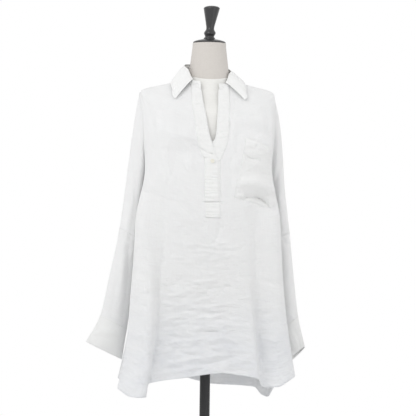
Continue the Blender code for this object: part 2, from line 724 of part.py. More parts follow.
def neck_seam(angle):
    """The body's neck edge, by its angle from centre back, positive towards the left."""
    back = np.cos(angle) >= 0
    turn = np.where(back, angle + math.pi / 2, np.sign(angle) * (math.pi - np.abs(angle)) + math.pi / 2)
    on_back = body_skin("back", np.clip(turn, 0, math.pi), 0.0)
    on_front = body_skin("front", np.clip(turn, 0, math.pi), 0.0)
    return np.where(back[..., None], on_back, on_front)


def stand_top(angle):
    """Top edge of the collar's stand, where the leaf turns over."""
    away = np.degrees(np.abs(angle))
    wide = column(COLLAR, "stand_top_x", away)
    x = wide * np.sin(angle) + COLLAR_SWAY
    y = np.cos(angle) * np.where(np.cos(angle) > 0, 0.056, 0.060)
    return np.stack([x, y, column(COLLAR, "stand_top_z", away) - COLLAR_TILT * x], axis=-1)


def leaf_edge(angle):
    """Outer edge of the collar's leaf: a line on the shoulders, raised clear of the body."""
    away = np.degrees(np.abs(angle))
    on_back = away <= 90
    around = np.radians(column(COLLAR, "leaf_turn", away))
    turn = np.where(angle < 0, around, math.pi - around)
    drop = column(COLLAR, "leaf_drop", away)
    points = np.where(on_back[:, None], body_skin("back", turn, drop), body_skin("front", turn, drop))
    lift = column(COLLAR, "leaf_lift", away) + DOUBLE_THICK
    outwards = np.stack([np.sin(angle) * 0.35, np.cos(angle) * 0.35, np.full_like(angle, 0.94)], axis=-1)
    return points + outwards * lift[:, None]


def make_collar():
    """The stand rises from the neck seam, and the leaf falls from its top to the shoulders."""
    angle = np.linspace(-STAND_END, STAND_END, COLLAR_COLUMNS + 1)
    low, high = neck_seam(angle), stand_top(angle)
    outwards = np.stack([np.sin(angle), np.cos(angle), np.zeros_like(angle)], axis=-1)
    rise = np.linspace(0, 1, 4)[:, None, None]
    middle = low[None] * (1 - rise) + high[None] * rise
    middle[0, :, 2] += SEAM_GAP + LAYER_GAP / 2
    stand = middle + outwards[None] * CLOTH_THICK / 2
    sheet_wall("collar_stand", stand[::-1], CLOTH_THICK, WHITE_DOUBLE, flip=True)

    angle = np.linspace(-LEAF_END, LEAF_END, COLLAR_COLUMNS + 1)
    top, edge = stand_top(angle), leaf_edge(angle)
    outwards = np.stack([np.sin(angle), np.cos(angle), np.zeros_like(angle)], axis=-1)
    share = np.array([0.0, 0.07, 0.17, 0.33, 0.52, 0.76, 1.0])[:, None, None]
    raised = DOUBLE_THICK + 3 * LAYER_GAP
    leaf = top[None] * (1 - share) + edge[None] * share
    leaf[..., 2] += raised * (1 - share[..., 0]) + 0.0016 * np.sin(math.pi * share[..., 0] ** 0.6)
    leaf += outwards[None] * 0.0018 * np.sin(math.pi * share**0.6)
    sheet_wall("collar_leaf", leaf, DOUBLE_THICK, WHITE_DOUBLE, flip=True)


def turned(name, profile, finish, base=(0.0, 0.0, 0.0), direction=None, steps=ROUND_STEPS, lean=0.0):
    """A turned piece: its profile of radius, height pairs spun round, and both ends closed."""
    mesh = bmesh.new()
    rings = []
    for radius, height in profile:
        ring = []
        for angle in np.arange(steps) * 2 * math.pi / steps:
            x = radius * math.cos(angle) + lean * max(height - LEAN_FROM, 0)
            ring.append(mesh.verts.new((x, radius * math.sin(angle), height)))
        rings.append(ring)
    for low, high in zip(rings[:-1], rings[1:]):
        for k in range(steps):
            mesh.faces.new((low[k], low[(k + 1) % steps], high[(k + 1) % steps], high[k]))
    mesh.faces.new(list(reversed(rings[0])))
    mesh.faces.new(rings[-1])
    bmesh.ops.recalc_face_normals(mesh, faces=mesh.faces)
    data = bpy.data.meshes.new(name)
    mesh.to_mesh(data)
    mesh.free()
    data.materials.append(material(finish))
    data.shade_smooth()
    data.set_sharp_from_angle(angle=math.radians(40))
    piece = bpy.data.objects.new(name, data)
    bpy.context.scene.collection.objects.link(piece)
    if direction is not None:
        from_up = np.array(direction, float)
        tilt = math.atan2(math.hypot(from_up[0], from_up[1]), from_up[2])
        piece.rotation_euler = (0.0, tilt, math.atan2(from_up[1], from_up[0]))
    piece.location = base
    return piece


def make_button():
    """The one button on the over band, standing just clear of it."""
    points, _, normals = front_panel(BAND_START_DROP, 60, 120)
    nearest = np.argmin(np.hypot(points[:, 0] - BUTTON_X, points[:, 2] - BUTTON_Z))
    out = normals[nearest]
    place = points[nearest] + np.array([BUTTON_X - points[nearest, 0], 0, BUTTON_Z - points[nearest, 2]])
    place[1] -= ((place - points[nearest]) @ out) / out[1]
    seat = 2 * (LAYER_GAP + DOUBLE_THICK) + PART_GAP
    lip = 0.75 * BUTTON_RADIUS
    profile = (
        (0.86 * BUTTON_RADIUS, 0.0),
        (BUTTON_RADIUS, 0.35 * BUTTON_THICK),
        (0.97 * BUTTON_RADIUS, 0.8 * BUTTON_THICK),
        (0.88 * BUTTON_RADIUS, BUTTON_THICK),
        (lip, 0.9 * BUTTON_THICK),
        (0.6 * BUTTON_RADIUS, 0.7 * BUTTON_THICK),
    )
    turned("button", profile, SHELL_BUTTON, tuple(place + out * seat), tuple(out), steps=16)


def form_ring(section, turns):
    """One ring of the dress form, round from the right side by way of the front."""
    sine, cosine = np.sin(turns), np.cos(turns)
    front = sine > 0
    full = 1 + section.corner * np.sin(2 * turns) ** 2
    reach = np.where(front, section.front_y, section.back_y)
    middle_z = np.where(front, section.front_z, section.back_z)
    z = section.side_z + (middle_z - section.side_z) * np.abs(sine) ** SHOULDER_ROUNDNESS
    degrees = np.degrees(turns)
    cups = sum(bump((degrees - 90 - way * BUST_TURN) / BUST_SPREAD) for way in (-1, 1))
    rise = BUST_HEIGHT * np.exp(-(((z - BUST_Z) / BUST_TALL) ** 2))
    x = -section.side_x * cosine * full
    y = -reach * sine * full - cups * rise * front
    return np.stack([x, y, z], axis=-1)


def make_form():
    """The dress form's torso and neck: rings joined into one closed, smooth solid."""
    names = FormSection._fields
    places = np.arange(len(FORM), dtype=float)
    levels = np.concatenate([np.linspace(a, a + 1, 3)[:-1] for a in places[:-1]] + [places[-1:]])
    turns = np.arange(FORM_COLUMNS) * 2 * math.pi / FORM_COLUMNS
    rings = []
    for level in levels:
        values = [float(smooth_between(places, [getattr(row, name) for row in FORM], level)) for name in names]
        rings.append(form_ring(FormSection(*values), turns))
    grid = np.array(rings)
    count = FORM_COLUMNS
    faces = []
    for row in range(len(rings) - 1):
        for k in range(count):
            a, b = row * count + k, row * count + (k + 1) % count
            faces.append((a, b, b + count, a + count))
    points = np.concatenate([grid.reshape(-1, 3), grid[0].mean(axis=0)[None], grid[-1].mean(axis=0)[None]])
    low, high = len(points) - 2, len(points) - 1
    last = (len(rings) - 1) * count
    for k in range(count):
        faces.append((low, (k + 1) % count, k))
        faces.append((high, last + k, last + (k + 1) % count))
    add_object("form_torso", points, faces, FORM_LINEN)


def make_stand():
    """Neck cap and finial above the form, and the pole and round base below it."""
    cap_z = FORM_TOP_Z + PART_GAP
    finial = (
        (CAP_RADIUS, 0.0),
        (CAP_RADIUS, 0.0025),
        (0.0400, 0.0048),
        (0.0300, 0.0078),
        (0.0160, 0.0102),
        (0.0140, 0.0130),
        (0.0118, 0.0175),
        (0.0130, 0.0205),
        (0.0153, 0.0258),
        (0.0140, 0.0300),
        (0.0108, 0.0340),
        (0.0102, 0.0385),
        (0.0125, 0.0520),
        (0.0212, 0.0905),
        (0.0200, 0.0935),
        (0.0130, 0.0962),
        (0.0050, 0.0972),
    )
    turned("neck_finial", finial, BLACK_WOOD, (0, 0, cap_z), lean=FINIAL_LEAN)
    foot = (
        (BASE_RADIUS - 0.002, 0.0),
        (BASE_RADIUS, 0.002),
        (BASE_RADIUS, BASE_THICK - 0.003),
        (BASE_RADIUS - 0.003, BASE_THICK),
        (HUB_RADIUS + 0.010, BASE_THICK + 0.001),
        (HUB_RADIUS, BASE_THICK + 0.006),
        (HUB_RADIUS - 0.002, HUB_TOP_Z - 0.002),
        (HUB_RADIUS - 0.004, HUB_TOP_Z),
    )
    turned("stand_base", foot, BLACK_STEEL, steps=40)
    pole_low, pole_high = HUB_TOP_Z + PART_GAP, FORM_BOTTOM_Z - PART_GAP
    turned("stand_pole", ((POLE_RADIUS, pole_low), (POLE_RADIUS, pole_high)), BLACK_STEEL, steps=24)


def main():
    clear_scene()
    make_garment()
    make_collar()
    make_bands()
    make_pocket()
    make_button()
    make_form()
    make_stand()


main()
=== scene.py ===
"""A wide white pullover blouse, open at the neck, on a limbless dress form that stands on a pole.

Metres, +Z up, the floor at Z = 0, the pole along the Z axis and the blouse's front towards -Y.
"Right" and "left" are the wearer's, so the right sleeve hangs at -X. Each piece of cloth is a grid of
points on one skin, shared by all of them: rings of the body from the neck seam to the hem, and rings
of each sleeve from the armhole to the cuff. Creases stand out of that skin as ridges and hollows.
"""

import math
from typing import NamedTuple

import bpy
import numpy as np
from mathutils import Matrix


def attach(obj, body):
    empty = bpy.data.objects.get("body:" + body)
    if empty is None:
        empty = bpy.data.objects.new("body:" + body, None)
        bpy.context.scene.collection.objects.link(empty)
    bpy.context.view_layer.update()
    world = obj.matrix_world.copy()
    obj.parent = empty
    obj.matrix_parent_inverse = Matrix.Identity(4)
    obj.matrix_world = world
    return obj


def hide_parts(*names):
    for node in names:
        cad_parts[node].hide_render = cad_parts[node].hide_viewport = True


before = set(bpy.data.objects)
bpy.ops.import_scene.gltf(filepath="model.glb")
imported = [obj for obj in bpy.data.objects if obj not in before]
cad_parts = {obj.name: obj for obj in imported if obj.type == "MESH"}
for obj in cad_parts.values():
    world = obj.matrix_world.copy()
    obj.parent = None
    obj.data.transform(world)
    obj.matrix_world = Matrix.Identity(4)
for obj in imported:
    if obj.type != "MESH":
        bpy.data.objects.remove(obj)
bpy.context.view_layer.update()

# Dress form: a limbless torso and neck of firm foam, covered in fine cream linen that is stretched
# smooth over it. The linen is sewn in panels, with a seam round the foot of the neck, one down the
# front and one down over each bust, and a narrow tape round the neck's top. The neck's linen is
# coloured darker and warmer than the torso's, and its darkness is painted shade for the neck's upright
# sides and the shade under the cap.


class FormRing(NamedTuple):
    """One ring of the dress form, from its flat underside to the top of its neck."""

    side_x: float
    side_z: float
    front_y: float
    front_z: float
    back_y: float
    back_z: float
    corner: float


FORM = (
    FormRing(0.1460, 0.7350, 0.090, 0.7350, 0.099, 0.7350, 0.05),
    FormRing(0.1500, 0.7400, 0.094, 0.7400, 0.103, 0.7400, 0.05),
    FormRing(0.1630, 0.8400, 0.108, 0.8400, 0.120, 0.8400, 0.05),
    FormRing(0.1480, 0.9350, 0.099, 0.9350, 0.106, 0.9350, 0.05),
    FormRing(0.1190, 1.0300, 0.089, 1.0300, 0.083, 1.0300, 0.05),
    FormRing(0.1270, 1.1000, 0.103, 1.1000, 0.089, 1.1000, 0.07),
    FormRing(0.1390, 1.1700, 0.121, 1.1650, 0.096, 1.1700, 0.10),
    FormRing(0.1470, 1.2350, 0.112, 1.2250, 0.099, 1.2350, 0.09),
    FormRing(0.1520, 1.3000, 0.099, 1.2750, 0.097, 1.2900, 0.08),
    FormRing(0.1590, 1.3480, 0.090, 1.3080, 0.087, 1.3300, 0.06),
    FormRing(0.1570, 1.3620, 0.083, 1.3200, 0.082, 1.3420, 0.05),
    FormRing(0.0960, 1.3845, 0.066, 1.3420, 0.064, 1.3800, 0.02),
    FormRing(0.0720, 1.3912, 0.058, 1.3560, 0.056, 1.3930, 0.00),
    FormRing(0.0580, 1.3965, 0.052, 1.3690, 0.051, 1.4000, 0.00),
    FormRing(0.0535, 1.4060, 0.0485, 1.3965, 0.0485, 1.4100, 0.00),
    FormRing(0.0500, 1.4300, 0.0475, 1.4230, 0.0470, 1.4320, 0.00),
    FormRing(0.0425, 1.4920, 0.0425, 1.4920, 0.0425, 1.4920, 0.00),
)
SHOULDER_ROUNDNESS = 1.7
BUST_TURN, BUST_SPREAD, BUST_Z, BUST_TALL, BUST_HEIGHT = 27, 17, 1.168, 0.050, 0.011
FORM_ROWS, FORM_COLUMNS = 190, 128
NECK_SEAM_LEVEL = 14.0
NECK_TAPE_WIDTH = 0.007
LINEN_SEAM_WIDTH, LINEN_SEAM_DEPTH = 0.0012, 0.0007
# painted shade: the neck's linen colour is darker than the torso's, for its upright sides and the shade under
# the cap
SHADED_NECK_COLOUR, SHADED_NECK_TONE = (0.665, 0.632, 0.596, 1), (0.632, 0.598, 0.560, 1)
TORSO_COLOUR, TORSO_SHADE = (0.860, 0.855, 0.830, 1), (0.825, 0.820, 0.792, 1)


def smooth_between(knots, values, at):
    """Monotone cubic through the knots: tangents are harmonic means of the slopes either side."""
    knots, values, at = (np.asarray(array, float) for array in (knots, values, at))
    steps = np.diff(knots)
    slopes = np.diff(values) / steps
    before, after = slopes[:-1], slopes[1:]
    same_way = before * after > 0
    inner = np.where(same_way, 2 * before * after / np.where(same_way, before + after, 1), 0)
    tangents = np.concatenate([slopes[:1], inner, slopes[-1:]])
    span = np.clip(np.searchsorted(knots, at, side="right") - 1, 0, len(steps) - 1)
    step = steps[span]
    u = (at - knots[span]) / step
    return (
        values[span] * (1 + 2 * u) * (1 - u) ** 2
        + tangents[span] * step * u * (1 - u) ** 2
        + values[span + 1] * u * u * (3 - 2 * u)
        + tangents[span + 1] * step * u * u * (u - 1)
    )


def column(table, name, at):
    """A table's named column, smoothly between its rows, whose places are the first column."""
    return smooth_between([row[0] for row in table], [getattr(row, name) for row in table], at)


def ramp(value, start, end):
    """0 before start, 1 after end and a smooth rise between them."""
    share = np.clip((value - start) / (end - start), 0, 1)
    return share * share * (3 - 2 * share)


def bump(offset):
    """1 at offset 0, falling smoothly to 0 at offset 1 either way."""
    return np.where(np.abs(offset) < 1, np.cos(np.clip(offset, -1, 1) * math.pi / 2) ** 2, 0)


def groove(offset, width):
    """1 on a line and next to nothing a width and a half from it: a bell of the distance."""
    return np.exp(-((offset / width) ** 2))


def cell_faces(rows, columns, first=0, round_it=False):
    """The four corners of each cell of a grid whose rows go down and whose columns go right."""
    index = first + np.arange(rows * columns).reshape(rows, columns)
    if round_it:
        index = np.concatenate([index, index[:, :1]], axis=1)
    return np.stack([index[:-1, :-1], index[1:, :-1], index[1:, 1:], index[:-1, 1:]], -1).reshape(-1, 4)


def closed_round(rows, columns):
    """Faces of a round grid that two more points close: first the one at its top, then at its foot."""
    ring, last, count = np.arange(columns), (rows - 1) * columns, rows * columns
    faces = cell_faces(rows, columns, round_it=True).tolist()
    faces += np.stack([np.full_like(ring, count), ring, np.roll(ring, -1)], -1).tolist()
    faces += np.stack([np.full_like(ring, count + 1), last + np.roll(ring, -1), last + ring], -1).tolist()
    return faces


def make_piece(name, points, faces, finish, flat=None, thick=0.0):
    """Puts a mesh into the scene on the part's one body. flat is each point's place on the flat cloth,
    in metres, which the weave follows. With a thickness it gets an inner face and a rim."""
    mesh = bpy.data.meshes.new(name)
    mesh.from_pydata(np.asarray(points).reshape(-1, 3).tolist(), [], [list(map(int, face)) for face in faces])
    mesh.materials.append(finish)
    if flat is not None:
        corners = np.empty(len(mesh.loops), np.int32)
        mesh.loops.foreach_get("vertex_index", corners)
        layer = mesh.uv_layers.new(name="flat_cloth")
        layer.data.foreach_set("uv", flat.reshape(-1, 2)[corners].astype(np.float32).ravel())
    mesh.shade_smooth()
    mesh.update()
    piece = bpy.data.objects.new(name, mesh)
    bpy.context.scene.collection.objects.link(piece)
    if thick:
        wall = piece.modifiers.new("cloth_thickness", "SOLIDIFY")
        wall.thickness, wall.offset = thick, -1.0
    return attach(piece, "root")


def node_kit(name, colour, roughness):
    """A new Principled material and two short ways to add a node to it and to join two sockets."""
    finish = bpy.data.materials.new(name)
    finish.use_nodes = True
    tree = finish.node_tree
    shader = tree.nodes["Principled BSDF"]
    shader.inputs["Base Color"].default_value = colour
    shader.inputs["Roughness"].default_value = roughness
    finish.diffuse_color = colour

    def add(kind, **settings):
        node = tree.nodes.new(kind)
        for key, value in settings.items():
            if key[0].isupper():
                node.inputs[key.replace("_", " ")].default_value = value
            else:
                setattr(node, key, value)
        return node

    return finish, shader, add, tree.links.new


def weave_material(
    name, colour, shade, roughness, pitch, depth, slub, sheen, crumple=0.0, hollow=None, coordinates="UV"
):
    """Plain woven cloth. Two sets of fine bands at right angles stand for warp and weft, and noise drawn
    out along each way makes slubs that thicken the thread and change its colour a little. crumple is the
    height of the fine level wrinkles pressed into it. hollow is a painted shade: a darker colour mixed into
    the cloth in noisy patches from the form's underside down, standing for the dimness that thin cloth
    shows where nothing lit stands behind it."""
    finish, shader, add, join = node_kit(name, colour, roughness)
    place = add("ShaderNodeTexCoord").outputs[coordinates]
    per_metre = 2 * math.pi / 20 / pitch
    threads = []
    for way in ("X", "Y"):
        wave = add(
            "ShaderNodeTexWave",
            bands_direction=way,
            Scale=per_metre,
            Distortion=1.2,
            Detail=2.0,
            Detail_Scale=0.4,
        )
        join(place, wave.inputs["Vector"])
        threads.append(wave.outputs["Fac"])
    woven = add("ShaderNodeMath", operation="MAXIMUM")
    join(threads[0], woven.inputs[0])
    join(threads[1], woven.inputs[1])
    slubs = []
    for along, across in ((22, 900), (900, 22)):
        drawn = add("ShaderNodeMapping")
        drawn.inputs["Scale"].default_value = (along, across, 300)
        join(place, drawn.inputs["Vector"])
        noise = add("ShaderNodeTexNoise", Scale=1.0, Detail=3.0, Roughness=0.55)
        join(drawn.outputs["Vector"], noise.inputs["Vector"])
        slubs.append(noise.outputs["Fac"])
    both = add("ShaderNodeMath", operation="ADD")
    join(slubs[0], both.inputs[0])
    join(slubs[1], both.inputs[1])
    tone = add("ShaderNodeMapRange", From_Min=0.75, From_Max=1.25)
    join(both.outputs[0], tone.inputs["Value"])
    tint = add("ShaderNodeMix", data_type="RGBA")
    tint.inputs["A"].default_value = shade
    tint.inputs["B"].default_value = colour
    join(tone.outputs["Result"], tint.inputs["Factor"])
    tinted = tint
    # painted shade: from the form's underside down the colour is mixed towards hollow, patchy with noise, for
    # the dim inside seen through the cloth
    if hollow:
        parts = add("ShaderNodeSeparateXYZ")
        join(place, parts.inputs["Vector"])
        lower = add("ShaderNodeMapRange", From_Min=0.60, From_Max=0.78)
        join(parts.outputs["Y"], lower.inputs["Value"])
        cloudy = add("ShaderNodeTexNoise", Scale=22.0, Detail=3.0, Roughness=0.6)
        join(place, cloudy.inputs["Vector"])
        patchy = add("ShaderNodeMapRange", From_Min=0.35, From_Max=0.65, To_Min=0.55, To_Max=1.0)
        join(cloudy.outputs["Fac"], patchy.inputs["Value"])
        share = add("ShaderNodeMath", operation="MULTIPLY")
        join(lower.outputs["Result"], share.inputs[0])
        join(patchy.outputs["Result"], share.inputs[1])
        tinted = add("ShaderNodeMix", data_type="RGBA")
        tinted.inputs["B"].default_value = hollow
        join(share.outputs[0], tinted.inputs["Factor"])
        join(tint.outputs["Result"], tinted.inputs["A"])
    join(tinted.outputs["Result"], shader.inputs["Base Color"])
    height = add("ShaderNodeMath", operation="MULTIPLY_ADD")
    join(both.outputs[0], height.inputs[0])
    height.inputs[1].default_value = slub
    join(woven.outputs[0], height.inputs[2])
    relief = add("ShaderNodeBump", Strength=1.0, Distance=depth)
    join(height.outputs[0], relief.inputs["Height"])
    join(relief.outputs["Normal"], shader.inputs["Normal"])
    if crumple:
        pressed = add("ShaderNodeMapping")
        pressed.inputs["Scale"].default_value = (42, 108, 100)
        join(place, pressed.inputs["Vector"])
        wrinkles = add("ShaderNodeTexNoise", Scale=1.0, Detail=5.0, Roughness=0.62, Distortion=1.6)
        join(pressed.outputs["Vector"], wrinkles.inputs["Vector"])
        parts = add("ShaderNodeSeparateXYZ")
        join(place, parts.inputs["Vector"])
        below = add("ShaderNodeMapRange", From_Min=0.25, From_Max=0.60, To_Min=0.35, To_Max=1.0)
        join(parts.outputs["Y"], below.inputs["Value"])
        scaled = add("ShaderNodeMath", operation="MULTIPLY")
        join(wrinkles.outputs["Fac"], scaled.inputs[0])
        join(below.outputs["Result"], scaled.inputs[1])
        wrinkled = add("ShaderNodeBump", Strength=1.0, Distance=crumple)
        join(scaled.outputs[0], wrinkled.inputs["Height"])
        join(wrinkled.outputs["Normal"], relief.inputs["Normal"])
    shader.inputs["Sheen Weight"].default_value = sheen
    shader.inputs["Sheen Roughness"].default_value = 0.6
    shader.inputs["Specular IOR Level"].default_value = 0.25
    return finish


def form_surface(turns, levels):
    """Points of the form. Each ring is an ellipse whose front and back halves have their own depth, with
    corners pushed out, two busts in front, and linen seams pressed in along their lines."""
    places = np.arange(len(FORM), dtype=float)
    row = {
        name: smooth_between(places, [getattr(ring, name) for ring in FORM], levels)[:, None]
        for name in FormRing._fields
    }
    sine, cosine = np.sin(turns)[None], np.cos(turns)[None]
    front = sine > 0
    full = 1 + row["corner"] * np.sin(2 * turns)[None] ** 2
    reach = np.where(front, row["front_y"], row["back_y"])
    middle_z = np.where(front, row["front_z"], row["back_z"])
    z = row["side_z"] + (middle_z - row["side_z"]) * np.abs(sine) ** SHOULDER_ROUNDNESS
    degrees = np.degrees(turns)[None]
    cups = sum(bump((degrees - 90 - way * BUST_TURN) / BUST_SPREAD) for way in (-1, 1))
    rise = BUST_HEIGHT * groove(z - BUST_Z, BUST_TALL)
    seams = 1.6 * groove(levels[:, None] - NECK_SEAM_LEVEL, 0.075)
    for turn in (90, 90 - BUST_TURN, 90 + BUST_TURN, 270, 240, 300, 180, 360):
        from_line = np.radians(degrees - turn) * row["side_x"]
        seams = np.maximum(seams, groove(from_line, LINEN_SEAM_WIDTH) * ramp(z, 1.50, 1.40))
    sunk = 1 - LINEN_SEAM_DEPTH / 0.10 * seams
    tape = 1 + 0.012 * ramp(z, FORM[-1].side_z - NECK_TAPE_WIDTH - 0.0006, FORM[-1].side_z - NECK_TAPE_WIDTH)
    x = -row["side_x"] * cosine * full * sunk * tape
    y = (-reach * sine * full - cups * rise * front) * sunk * tape
    return np.stack([x, y, z], axis=-1)


turns = np.linspace(0, 2 * math.pi, FORM_COLUMNS, endpoint=False)
levels = np.concatenate([np.linspace(0, 13, 120)[:-1], np.linspace(13, len(FORM) - 1, FORM_ROWS - 119)])[::-1]
grid = form_surface(turns, levels)
ends = np.array([grid[0].mean(axis=0), grid[-1].mean(axis=0)])
points = np.concatenate([grid.reshape(-1, 3), ends])
faces = closed_round(FORM_ROWS, FORM_COLUMNS)
linen, torso_linen = (
    weave_material(name, colour, shade, 0.9, 0.0008, 0.00012, 0.5, 0.15, coordinates="Object")
    for name, colour, shade in (
        ("form_linen_neck_painted_shade", SHADED_NECK_COLOUR, SHADED_NECK_TONE),
        ("form_linen_torso", TORSO_COLOUR, TORSO_SHADE),
    )
)
torso = make_piece("dress_form", points, faces, linen)
torso.data.materials.append(torso_linen)
below_seam = np.zeros(len(torso.data.polygons), np.int32)
below_seam[: (FORM_ROWS - 1) * FORM_COLUMNS] = np.repeat(levels[:-1] <= NECK_SEAM_LEVEL + 0.02, FORM_COLUMNS)
below_seam[-FORM_COLUMNS:] = 1
torso.data.polygons.foreach_set("material_index", below_seam)
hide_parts("form_torso")

# Neck cap and finial: one piece of turned wood, lacquered black, screwed down on the form's neck. It
# leans a little, as on the real form.

CAP_Z = 1.4923
FINIAL_LEAN, LEAN_FROM = 0.065, 0.012
FINIAL_PROFILE = (
    (0.0000, 0.0000),
    (0.0420, 0.0000),
    (0.0425, 0.0006),
    (0.0425, 0.0021),
    (0.0421, 0.0027),
    (0.0398, 0.0046),
    (0.0300, 0.0078),
    (0.0200, 0.0098),
    (0.0160, 0.0106),
    (0.0151, 0.0112),
    (0.0150, 0.0128),
    (0.0142, 0.0138),
    (0.0120, 0.0160),
    (0.0118, 0.0172),
    (0.0121, 0.0190),
    (0.0133, 0.0210),
    (0.0150, 0.0243),
    (0.0153, 0.0262),
    (0.0148, 0.0284),
    (0.0126, 0.0322),
    (0.0110, 0.0345),
    (0.0102, 0.0385),
    (0.0108, 0.0435),
    (0.0125, 0.0520),
    (0.0168, 0.0712),
    (0.0205, 0.0880),
    (0.0211, 0.0905),
    (0.0208, 0.0918),
    (0.0190, 0.0938),
    (0.0150, 0.0957),
    (0.0095, 0.0969),
    (0.0000, 0.0973),
)
ROUND_STEPS = 96


def turned_surface(profile, base_z=0.0, lean=0.0, lean_from=0.0, steps=ROUND_STEPS):
    """Points and faces of a turned piece: its radius, height pairs spun round the Z axis. Above
    lean_from it slides towards +X by a share of its height. Pairs of radius 0 close its ends."""
    radius, height = np.array(profile).T
    angle = np.linspace(0, 2 * math.pi, steps, endpoint=False)
    rows = slice(1, -1)
    x = radius[rows, None] * np.cos(angle) + lean * np.maximum(height[rows, None] - lean_from, 0)
    y = radius[rows, None] * np.sin(angle)
    z = np.broadcast_to(base_z + height[rows, None], x.shape)
    grid = np.stack([x, y, z], axis=-1)[::-1]
    tips = [(lean * max(height[k] - lean_from, 0), 0, base_z + height[k]) for k in (-1, 0)]
    return np.concatenate([grid.reshape(-1, 3), tips]), closed_round(len(grid), steps)


def worn_black(name, colour, roughness, coat, grain):
    """Black finish whose gloss is uneven: stretched noise changes the roughness and lifts the surface."""
    finish, shader, add, join = node_kit(name, colour, roughness)
    place = add("ShaderNodeTexCoord").outputs["Object"]
    drawn = add("ShaderNodeMapping")
    drawn.inputs["Scale"].default_value = (1.0, 1.0, 0.12)
    join(place, drawn.inputs["Vector"])
    noise = add("ShaderNodeTexNoise", Scale=grain, Detail=4.0, Roughness=0.6)
    join(drawn.outputs["Vector"], noise.inputs["Vector"])
    rough = add("ShaderNodeMapRange", To_Min=roughness - 0.08, To_Max=roughness + 0.12)
    join(noise.outputs["Fac"], rough.inputs["Value"])
    join(rough.outputs["Result"], shader.inputs["Roughness"])
    tint = add("ShaderNodeMix", data_type="RGBA")
    tint.inputs["A"].default_value = colour
    tint.inputs["B"].default_value = tuple(2.2 * part for part in colour[:3]) + (1,)
    join(noise.outputs["Fac"], tint.inputs["Factor"])
    join(tint.outputs["Result"], shader.inputs["Base Color"])
    relief = add("ShaderNodeBump", Strength=0.25, Distance=0.0002)
    join(noise.outputs["Fac"], relief.inputs["Height"])
    join(relief.outputs["Normal"], shader.inputs["Normal"])
    shader.inputs["Coat Weight"].default_value = coat
    shader.inputs["Coat Roughness"].default_value = 0.15
    return finish


lacquer = worn_black("black_wood", (0.012, 0.012, 0.013, 1), 0.34, 0.5, 220.0)
finial = make_piece(
    "neck_cap_and_finial", *turned_surface(FINIAL_PROFILE, CAP_Z, FINIAL_LEAN, LEAN_FROM), lacquer
)
finial.data.set_sharp_from_angle(angle=math.radians(50))
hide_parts("neck_finial")

# Stand: a black painted steel pole in the hub of a plain round base plate. Below the hem both are
# guessed, and the pole has no clamp or thumb screw.

POLE_RADIUS, POLE_LOW_Z, POLE_HIGH_Z = 0.0133, 0.0343, 0.7347
BASE_PROFILE = (
    (0.0000, 0.0000),
    (0.1880, 0.0000),
    (0.1896, 0.0006),
    (0.1900, 0.0020),
    (0.1900, 0.0052),
    (0.1893, 0.0069),
    (0.1872, 0.0080),
    (0.0400, 0.0084),
    (0.0340, 0.0090),
    (0.0285, 0.0103),
    (0.0254, 0.0122),
    (0.0241, 0.0150),
    (0.0240, 0.0180),
    (0.0228, 0.0300),
    (0.0222, 0.0322),
    (0.0202, 0.0338),
    (0.0188, 0.0340),
    (0.0000, 0.0340),
)
POLE_PROFILE = (
    (0.0000, POLE_LOW_Z),
    (POLE_RADIUS, POLE_LOW_Z),
    (POLE_RADIUS, 0.2),
    (POLE_RADIUS, 0.4),
    (POLE_RADIUS, POLE_HIGH_Z),
    (0.0000, POLE_HIGH_Z),
)
steel = worn_black("black_steel", (0.010, 0.010, 0.011, 1), 0.42, 0.0, 160.0)
for name, node, profile in (("pole", "stand_pole", POLE_PROFILE), ("base_plate", "stand_base", BASE_PROFILE)):
    stand = make_piece(name, *turned_surface(profile), steel)
    stand.data.set_sharp_from_angle(angle=math.radians(40))
    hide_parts(node)

# Front and back: the two large panels of white gauze-like linen, each cut in one with its halves of the
# upper sleeves. The front has the V opening, the back hangs lower, and both hang in deep soft folds.
# The linen is thin, crumpled and a little see-through; the dimness seen through it low on the body is painted
# shade in its colour.


class BodyRing(NamedTuple):
    """One ring of the body. drop is the way down the cloth from the neck seam."""

    drop: float
    side_x: float
    side_z: float
    front_y: float
    front_z: float
    back_y: float
    back_z: float
    corner: float
    sway: float


BODY = (
    BodyRing(0.000, 0.0620, 1.4000, 0.060, 1.366, 0.058, 1.410, 0.00, -0.0015),
    BodyRing(0.035, 0.0960, 1.3880, 0.074, 1.343, 0.074, 1.388, 0.04, -0.0035),
    BodyRing(0.118, 0.1755, 1.3605, 0.104, 1.281, 0.101, 1.322, 0.10, -0.0045),
    BodyRing(0.240, 0.1670, 1.2430, 0.131, 1.175, 0.112, 1.208, 0.13, -0.0060),
    BodyRing(0.358, 0.1580, 1.1250, 0.136, 1.070, 0.114, 1.096, 0.14, -0.0070),
    BodyRing(0.490, 0.1630, 0.9900, 0.134, 0.955, 0.119, 0.972, 0.14, -0.0050),
    BodyRing(0.640, 0.1750, 0.8420, 0.139, 0.835, 0.134, 0.832, 0.13, -0.0050),
    BodyRing(0.760, 0.1890, 0.7220, 0.146, 0.735, 0.149, 0.712, 0.12, -0.0035),
    BodyRing(0.865, 0.2090, 0.6200, 0.153, 0.642, 0.160, 0.600, 0.12, -0.0060),
)
SHOULDER_TIP, UNDERARM, HEM_DROP = BODY[2], BODY[4], BODY[-1].drop
ARMHOLE_DEPTH, ARMHOLE_POINT = 0.070, 1.7
SLIT_DROP, SLIT_GAP = 0.780, 0.004


class HemPoint(NamedTuple):
    """Height of the hem, by degrees round its half of the body from the right side."""

    turn: float
    front_z: float
    back_z: float


